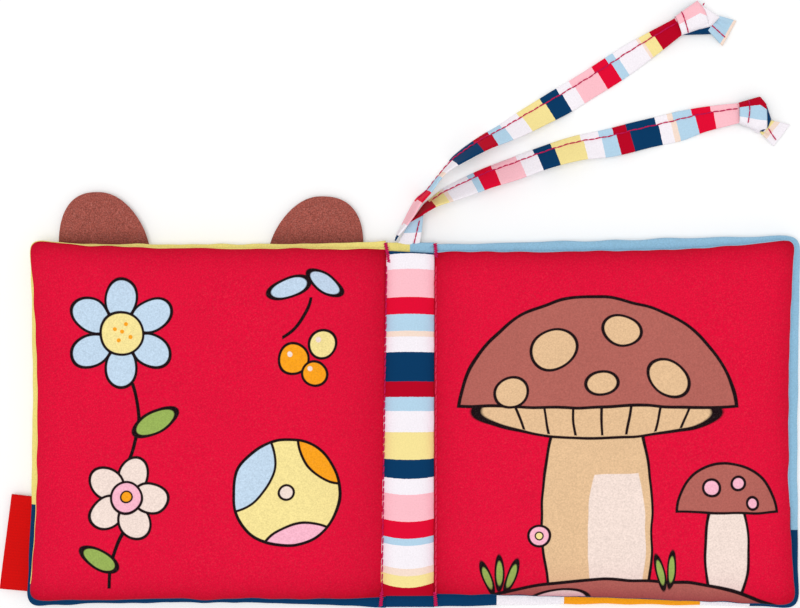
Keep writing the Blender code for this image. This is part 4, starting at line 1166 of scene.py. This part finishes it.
# A spine cloth between two heights. Across it swells as 1 - |u| ^ 2.6; at head and tail it turns about the
# rim, its place going out by roll * sin(angle) while its height is the middle +- half * cos(angle).
# Spread moves its two sides across, most at the tail, and slant moves its right corner at the head.
def spineCloth(left, right, head, tail, roll, topSide, lowSide, top, seed, slant=0.0, spread=(0.0, 0.0)):
    turnSteps, rows = 12, 120
    u = np.linspace(-1, 1, spineColumns)[None, :]
    turns = np.linspace(0, math.pi / 2, turnSteps + 1)[1:]
    straight = np.linspace(tail + roll, head - roll, rows)
    y0 = np.concatenate([np.full(turnSteps, straight[0]), straight,
                         np.full(turnSteps, straight[-1])])[:, None]
    angle = np.concatenate([turns[::-1], np.zeros(rows), turns])[:, None]
    way = np.concatenate([-np.ones(turnSteps), np.zeros(rows), np.ones(turnSteps)])[:, None]
    x = (left + right) / 2 + (right - left) / 2 * u
    y = y0 + way * roll * np.sin(angle)
    swell = 1 - np.abs(u) ** 2.6
    high = topSide[0] + topSide[1] * swell
    low = lowSide[0] + lowSide[1] * swell
    gather = 0.00016 * waves(y, 0.3 * np.abs(u), 0.004, 0.012, seed) * np.abs(u) ** 2 * np.abs(np.cos(angle))
    z = (high + low) / 2 + (1 if top else -1) * ((high - low) / 2 * np.cos(angle) + gather)
    share = (y - tail) / (head - tail)
    x = x + (spread[0] * (1 - u) + spread[1] * (1 + u)) / 2 * (1 - share)
    y = y + slant * ease(share * 6 - 5) * (u + 1) / 2
    x, y, z = np.broadcast_arrays(x, y, z)
    return np.stack([x, y, z], axis=-1), u


# One side of the strip over the pages' fold
def stripSide(top, seed):
    s = spineStrip
    return spineCloth(s["left"], s["right"], s["head"], s["tail"], s["endRoll"], (s["edge"], s["crown"]),
                      (s["back"], 0.0), top, seed, s["slant"], s["spread"])


# Spine wadding: an upper and a lower side drawn to one level at both edges, by 1 - |u| ^ 6
def spinePad(name, node, level, size, seed):
    sides = [spineCloth(*size, top, seed)[0] for top in (True, False)]
    drawn = (1 - np.abs(np.linspace(-1, 1, spineColumns)) ** 6)[None]
    for points in sides:
        points[..., 2] = level + (points[..., 2] - level) * drawn
    dress(closedPad(name, *sides), "spine", bpy.data.materials["batting"], [node])


# Sizes are left, right, head, tail and the roll at the ends, then each side's height and its swell
stripFill = (spineStrip["left"] + 0.002, spineStrip["right"] - 0.002, spineStrip["head"] - 0.003,
             spineStrip["tail"] + 0.003, 0.003, (0.0063, 0.0006), (0.0060, -0.0001))
coverSpineSize = (-0.00656, 0.01386, 0.0669, -0.0867, 0.009, (0.00505, 0.00015), (0.0041, -0.0008))
coverSpineFill = (-0.0040, 0.0113, 0.0640, -0.0820, 0.004, (0.0047, 0.0001), (0.0042, -0.0003))
fillLevels = {"strip": 0.00615, "coverSpine": 0.00445}


# Spine: the striped strip with its backing and wadding, and the cover's two cloths with theirs. The stripes
# bow outward at both ends of the strip, most at the tail, by an amount that falls off as 1 - u ^ 2.
def makeSpine():
    s = spineStrip
    points, u = stripSide(True, 51)
    share = (points[..., 1] - (s["head"] + s["tail"]) / 2) / ((s["head"] - s["tail"]) / 2)
    bow = s["bow"] * share - s["tailBow"] * ease(-share / 0.5) - s["lastBow"] * ease((-share - 0.7) / 0.3)
    down = s["head"] - points[..., 1] + bow * (1 - u * u)
    uvGrid = np.stack([down, points[..., 0]], axis=-1)
    strip = gridPiece("spineStripe", points, uvGrid, toward=(0, 0, 1), wall=clothWall)
    # Painted shade: the strip's edges take the tint by |u| ^ 5, darker and redder toward both sides
    keepPaintedShade(strip, np.broadcast_to(np.abs(u) ** 5, points.shape[:2]))
    cloth = bandedCloth("spineStripes", stripBands, tint=s["tint"], **ribbonWeave)
    dress(strip, "spine", cloth, ["spine_stripe_strip"])
    piece = gridPiece("spineStripBack", stripSide(False, 52)[0], toward=(0, 0, -1), wall=clothWall)
    backCloth = plainCloth("spineStripBackCloth", dyes["navy"])
    dress(piece, "spine", backCloth, ["spine_strip_backing"])
    spinePad("spineWadding", "spine_wadding", fillLevels["strip"], stripFill, 53)
    for part, top, slot in (("Lining", True, "yellow_cotton"), ("Outer", False, "blue_cotton")):
        points, _ = spineCloth(*coverSpineSize, top, 54)
        piece = gridPiece(f"coverSpine{part}", points, toward=(0, 0, 1 if top else -1), wall=clothWall)
        dress(piece, "spine", clothes["coverSpine"], [f"cover_spine_{part.lower()}"])
    spinePad("coverSpineWadding", "cover_spine_wadding", fillLevels["coverSpine"], coverSpineFill, 55)


folds = {"back": 0.0016, "dip": 0.0001, "dipRun": 0.0024, "wall": 0.0008, "bendFrom": 0.0008,
         "bendTo": 0.0002}
foldKinds = [
    {"part": "PageFold", "reach": 0.0014, "height": 0.00588, "tail": -0.0800, "head": 0.0615,
     "cloth": "pageFold", "slot": {"left": "red_cotton", "right": "red_cotton"}},
    {"part": "CoverFold", "reach": 0.0, "height": 0.00465, "tail": -0.0835, "head": 0.0653,
     "cloth": "coverSpine", "slot": {"left": "yellow_cotton", "right": "blue_cotton"}},
]


# Fold strips: the cloth that runs on under the stitches from the spine into each page and cover, level across
# with a ripple of dip * sin(y / dipRun)
def makeFolds():
    f = folds
    for name, side, hinge in (("left", -1, -0.00635), ("right", 1, 0.01365)):
        for kind in foldKinds:
            across = np.linspace(hinge - side * f["back"], hinge + side * kind["reach"], 9)[None, :]
            along = np.linspace(kind["tail"], kind["head"], 60)[:, None]
            height = kind["height"] + f["dip"] * np.sin(along / f["dipRun"])
            points = np.stack(np.broadcast_arrays(across, along, height), axis=-1)
            piece = gridPiece(f"{name}{kind['part']}", points, toward=(0, 0, 1), wall=f["wall"], offset=0)
            piece.data.materials.append(clothes[kind["cloth"]])
            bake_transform(piece)


clothes["pageFold"] = plainCloth("pageFoldCloth", dyes["pageRed"])
makeSpine()
makeFolds()
print("cloth book: spine made")


# Sewing: running stitches down both sides of the spine, and a bar tack at each end of them

sewing = {"pitch": 0.0030, "length": 0.0028, "radius": 0.00030, "left": -0.0081, "right": 0.0146,
          "from": -0.0795, "to": 0.0580, "proud": 0.00018, "bottom": 0.0040, "tackWidth": 0.00075,
          "tackStep": 0.00042, "tackRadius": 0.00030, "jitter": 0.00005, "lean": 0.0001, "leanRun": 0.0013,
          "rise": 0.00042, "sink": 0.00018, "tackJitter": 0.00006, "tackEdge": 0.0051, "tackClimb": 0.0018,
          "tackReach": 0.0045, "tackRise": 0.00022, "tackSeed": 60}
# Each bar tack is x at its tip, x at its inner end, y at its tip and y at its inner end
tacks = {"leftHead": (-0.0067, -0.0051, 0.0667, 0.0585), "leftTail": (-0.0087, -0.0082, -0.0862, -0.0800),
         "rightHead": (0.0142, 0.0147, 0.0665, 0.0607), "rightTail": (0.0145, 0.0141, -0.0862, -0.0800)}


# Stitches: each is a low arc, rise * (1 - t^2) - sink, over the higher of the strip's edge and the page's
# cloth, and one more below the spine for each above it
def runningStitches(x, slope):
    s = sewing
    middle = np.arange(s["from"], s["to"], s["pitch"])[:, None]
    t = np.linspace(-1, 1, 9)[None, :]
    dice = np.random.default_rng(7 + int(x > 0))
    y = middle + t * s["length"] / 2
    lean = dice.normal(0, s["jitter"], middle.shape) + s["lean"] * t
    lean = lean + slope * (middle + t * s["leanRun"] - s["from"])
    lines = []
    away = np.abs(x + lean - spineX) - padding["stitchX"]
    pageTop = padding["pageBack"] + 2 * paddedHalf(np.maximum(away, 0))
    cloth = np.maximum(spineStrip["edge"], pageTop) + s["proud"]
    for height, way in ((cloth, 1), (s["bottom"], -1)):
        z = height + way * (s["rise"] * (1 - t * t) - s["sink"])
        lines.append(np.stack(np.broadcast_arrays(x + lean, y, z), axis=-1))
    return np.concatenate(lines)


# Bar tack: one thread laid from side to side as it goes along, over the edge of the cloth, which climbs from
# the tip by tackClimb * smooth step, and once more along the bottom. Each run is an arc of
# tackRise * sin(pi * t).
def barTack(xTip, xInner, tip, inner, seed):
    s = sewing
    count = int(abs(tip - inner) / s["tackStep"])
    y = np.linspace(inner, tip, count)
    dice = np.random.default_rng(seed)
    zigzag = np.where(np.arange(count) % 2 == 0, 1, -1) * s["tackWidth"]
    side = zigzag + dice.normal(0, s["tackJitter"], count)
    gone = np.abs(y - tip)
    top = s["tackEdge"] + s["tackClimb"] * ease(gone / s["tackReach"])
    lines = []
    for level in (top, np.full(count, s["bottom"] - 0.0001)):
        corner = np.stack([xTip + (xInner - xTip) * gone / abs(tip - inner) + side, y, level], axis=-1)
        t = np.linspace(0, 1, 6)[None, :, None]
        run = corner[:-1, None] + (corner[1:, None] - corner[:-1, None]) * t
        run[..., 2] += (s["tackRise"] * np.sin(np.pi * t[..., 0])) * (1 if level is top else -1)
        lines.append(run)
    return np.concatenate(lines)


# Both seams: their running stitches and their bar tacks
def makeSewing():
    s = sewing
    paleThread = threadFinish("paleThread", dyes["paleThread"])
    for name, x, node, slope in (("left", s["left"], "left_seam_thread", 0.0142),
                                 ("right", s["right"], "right_seam_thread", 0.0)):
        piece = threadPiece(f"{name}SpineStitches", runningStitches(x, slope), s["radius"], blunt=0.5)
        dress(piece, "spine", magentaThread if name == "left" else paleThread, [node])
        for end in ("Head", "Tail"):
            runs = barTack(*tacks[name + end], s["tackSeed"])
            tack = threadPiece(f"{name}{end}Tack", runs, s["tackRadius"], blunt=0.7)
            dress(tack, "spine", magentaThread, [f"{name}_{end.lower()}_bar_tack"])


makeSewing()
print("cloth book: sewing made")


# Ears and label, sewn into the seam of the left cover

# Each ear's apex is its x; reach and power are those of its outer and its inner side, and flare widens the
# inner side toward the root
ears = {
    "left": {"body": "ear_left", "apex": spineX - 0.1318, "outer": -1, "reach": (0.0165, 0.0171),
             "power": (2.5, 2.15), "flare": 0.28, "tip": 0.0974},
    "right": {"body": "ear_right", "apex": spineX - 0.03745, "outer": 1, "reach": (0.0178, 0.0164),
              "power": (2.5, 2.15), "flare": 0.34, "tip": 0.0956},
}
earShape = {"root": 0.0742, "seam": 0.0766, "dome": 0.00066, "middle": 0.0026,
            "bendFrom": 0.0752, "bendTo": 0.0784, "shadeReach": 0.0060, "shadeDeep": 0.40}


# Ear cloth. The square (a, b) is drawn onto a half disc by X = a * sqrt(1 - b^2 / 2) and
# Y = b * sqrt(1 - a^2 / 2), and the disc onto the blunt outline |x / reach| ^ power + h ^ power = 1. It domes
# as dome * sqrt(1 - r ^ 5).
def earCloth(ear, top, seed):
    e = earShape
    acrossTurn, upTurn = np.linspace(-math.pi / 2, math.pi / 2, 61), np.linspace(0, math.pi / 2, 40)
    a, b = np.meshgrid(np.sin(acrossTurn), np.sin(upTurn))
    discX, discY = a * np.sqrt(1 - b * b / 2), b * np.sqrt(1 - a * a / 2)
    r = np.hypot(discX, discY)
    inner = discX * ear["outer"] < 0
    power, reach = (np.where(inner, ear[key][1], ear[key][0]) for key in ("power", "reach"))
    blunt = (np.abs(discX) ** power + np.abs(discY) ** power) ** (1 / power)
    stretch = r / np.maximum(blunt, 1e-9)
    x, h = discX * stretch, discY * stretch
    x = ear["apex"] + x * reach * (1 + np.where(inner, ear["flare"], 0.0) * (1 - h))
    y = e["root"] + h * (ear["tip"] - e["root"])
    lumps = 1 + 0.18 * waves(x, y, 0.006, 0.016, seed) * (1 - r ** 3)
    dome = e["dome"] * np.sqrt(np.clip(1 - r ** 5, 0, 1)) * lumps
    ridge = -0.00014 * np.exp(-((r - 0.90) / 0.03) ** 2)
    z = e["middle"] + (1 if top else -1) * (dome + ridge)
    return np.stack([x, y + spineY, z], axis=-1)


# A sewn-in piece: it takes its finish, the CAD nodes that it stands for are hidden, and its place is baked
# into its points
def sewIn(piece, material, nodes):
    piece.data.materials.append(material)
    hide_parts(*nodes)
    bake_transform(piece)


# Ears: a front and a back cloth each, of a felt with painted shade that darkens it toward the seam, where it
# goes under the cover
def makeEars():
    e, recipe = earShape, Recipe("earCloth")
    where = recipe.place("object")
    _, along, _ = recipe.split(where)
    # painted shade: the felt darkens toward the seam at the ear's root and fades out over shadeReach
    beyond = recipe.number("SUBTRACT", along, spineY + e["seam"])
    shade = paintedLineShade(recipe, beyond, e["shadeReach"], e["shadeDeep"])
    felt = weaveCloth(recipe, where, dyes["earBrown"], pitch=0.00055, weaveHeight=0.014, slub=0.035,
                      grain=0.16, speckle=0.85, flecks=2000, lint=0.14, shade=shade)
    for name, ear in ears.items():
        for part, top in (("Front", True), ("Back", False)):
            points = earCloth(ear, top, 70 + int(top))
            piece = gridPiece(f"{name}Ear{part}", points, toward=(0, 0, 1 if top else -1), wall=0.0003)
            sewIn(piece, felt, [f"{ear['body']}_{part.lower()}"])


makeEars()


# The label's corners in the picture: its two ends at the cover's edge, and its two outer ends
label = {"footIn": (26.8, 591.0), "topIn": (31.6, 496.3), "footOut": (-0.1, 588.5), "topOut": (12.0, 494.0),
         "tuck": 0.0022, "middle": 0.0026, "half": 0.00034, "wall": 0.00028, "ribPitch": 0.0012, "rib": 0.03,
         "bendFrom": 0.0006, "bendTo": 0.0014}


# Label: a tape folded double. Its section runs out along the top, round a half circle at the fold and back
# below, and each point of it is footIn + (topIn - footIn) * along + way out * its share of the reach there.
def makeLabel():
    footIn, topIn, footOut, topOut = (spot(*label[k], label["middle"])[:2]
                                      for k in ("footIn", "topIn", "footOut", "topOut"))
    along = np.linspace(0, 1, 40)[:, None]
    root = footIn + (topIn - footIn) * along[..., None]
    out = (footOut + (topOut - footOut) * along[..., None]) - root
    reach = np.linalg.norm(out, axis=-1)
    way = out / reach[..., None]
    flat = np.linspace(0, 1, 16)
    bend = np.linspace(math.pi / 2, -math.pi / 2, 9)[1:-1]
    outShare = np.concatenate([flat, np.ones(7), flat[::-1]])[None, :]
    bulge = np.concatenate([np.zeros(16), np.cos(bend), np.zeros(16)])[None, :]
    side = np.concatenate([np.ones(16), np.sin(bend), -np.ones(16)])[None, :]
    away = -label["tuck"] + (reach + label["tuck"] - label["half"]) * outShare + label["half"] * bulge
    lift = 0.00018 * np.sin(along * 5) * outShare + 0.0002 * outShare ** 2
    z = label["middle"] + side * label["half"] * (1 + 0.25 * np.sin(outShare * math.pi)) + lift
    plan = root + way * away[..., None]
    points = np.concatenate([plan, np.broadcast_to(z, plan.shape[:2])[..., None]], axis=-1)
    span = np.linalg.norm(topIn - footIn)
    uvGrid = np.stack(np.broadcast_arrays(along * span, away), axis=-1)
    piece = gridPiece("foldedLabel", points, uvGrid, wall=label["wall"], offset=0)
    recipe = Recipe("labelTape", roughness=0.6, specular=0.12)
    where = recipe.place("uv")
    u, _, _ = recipe.split(where)
    rib = recipe.number("SINE", recipe.number("MULTIPLY", u, 2 * math.pi / label["ribPitch"]))
    rib = recipe.number("MULTIPLY_ADD", rib, label["rib"], 1.0)
    weaveCloth(recipe, where, recipe.mix(1.0, dyes["labelRed"], rib, "MULTIPLY"), pitch=0.00030,
               weaveHeight=0.008, slub=0.01, crease=0.03, grain=0.06)
    sewIn(piece, recipe.material, ["side_label"])


makeLabel()
print("cloth book: ears and label made")


# Root of the ties: the ribbon that comes out of the head seam and folds into the lower tie

tieRoot = {"left": [(396.8, 245.0), (402.9, 234.3), (409.0, 223.0), (414.5, 216.5)],
           "right": [(419.4, 245.0), (421.4, 234.3), (423.4, 215.0), (421.8, 211.5)],
           "height": (0.0043, 0.0050, 0.0055, 0.0056), "share": (0, 0.3, 0.8, 1),
           "bands": [("white", 4.2), ("paleBlue", 9.6), ("crimson", 20.0)],
           "length": 0.0120, "stitches": ((413.9, 244.0), (419.4, 221.0))}


# Root ribbon: between its left and right edge, each read up its length, a flat band that swells a little and
# is pressed in along its seam by depth * exp(-(distance / width) ^ 2)
def makeRoot():
    r = tieRoot
    along = np.linspace(0, 1, 28)[:, None]
    knotsAt = r["share"]
    across = np.linspace(0, 1, 22)[None, :]
    leftAt, rightAt = (
        np.stack([np.interp(along, knotsAt, [spot(*p, h)[k] for p, h in zip(r[side], r["height"])])
                  for k in (0, 1)], axis=-1)
        for side in ("left", "right"))
    plan = leftAt + (rightAt - leftAt) * across[..., None]
    z = np.interp(along, knotsAt, r["height"]) + 0.0003 * np.sin(across * math.pi) \
        - 0.00030 * np.exp(-((across - 0.72) / 0.05) ** 2) + 0 * along
    points = np.concatenate([plan, z[..., None]], axis=-1)
    uvGrid = np.stack(np.broadcast_arrays(along * r["length"], across * tieShape["width"]), axis=-1)
    piece = gridPiece("tieRootRibbon", points, uvGrid, toward=(0, 0, 1), wall=0.0010)
    cloth = bandedCloth("tieRootStripes", r["bands"], **ribbonWeave)
    dress(piece, "spine", cloth, ["tie_root_tab"])
    stitches = threadPiece("tieRootStitches", stitchesOn(points, *r["stitches"]), tieShape["threadRadius"],
                           blunt=0.6)
    dress(stitches, "spine", magentaThread)


makeRoot()
print("cloth book: tie root made")
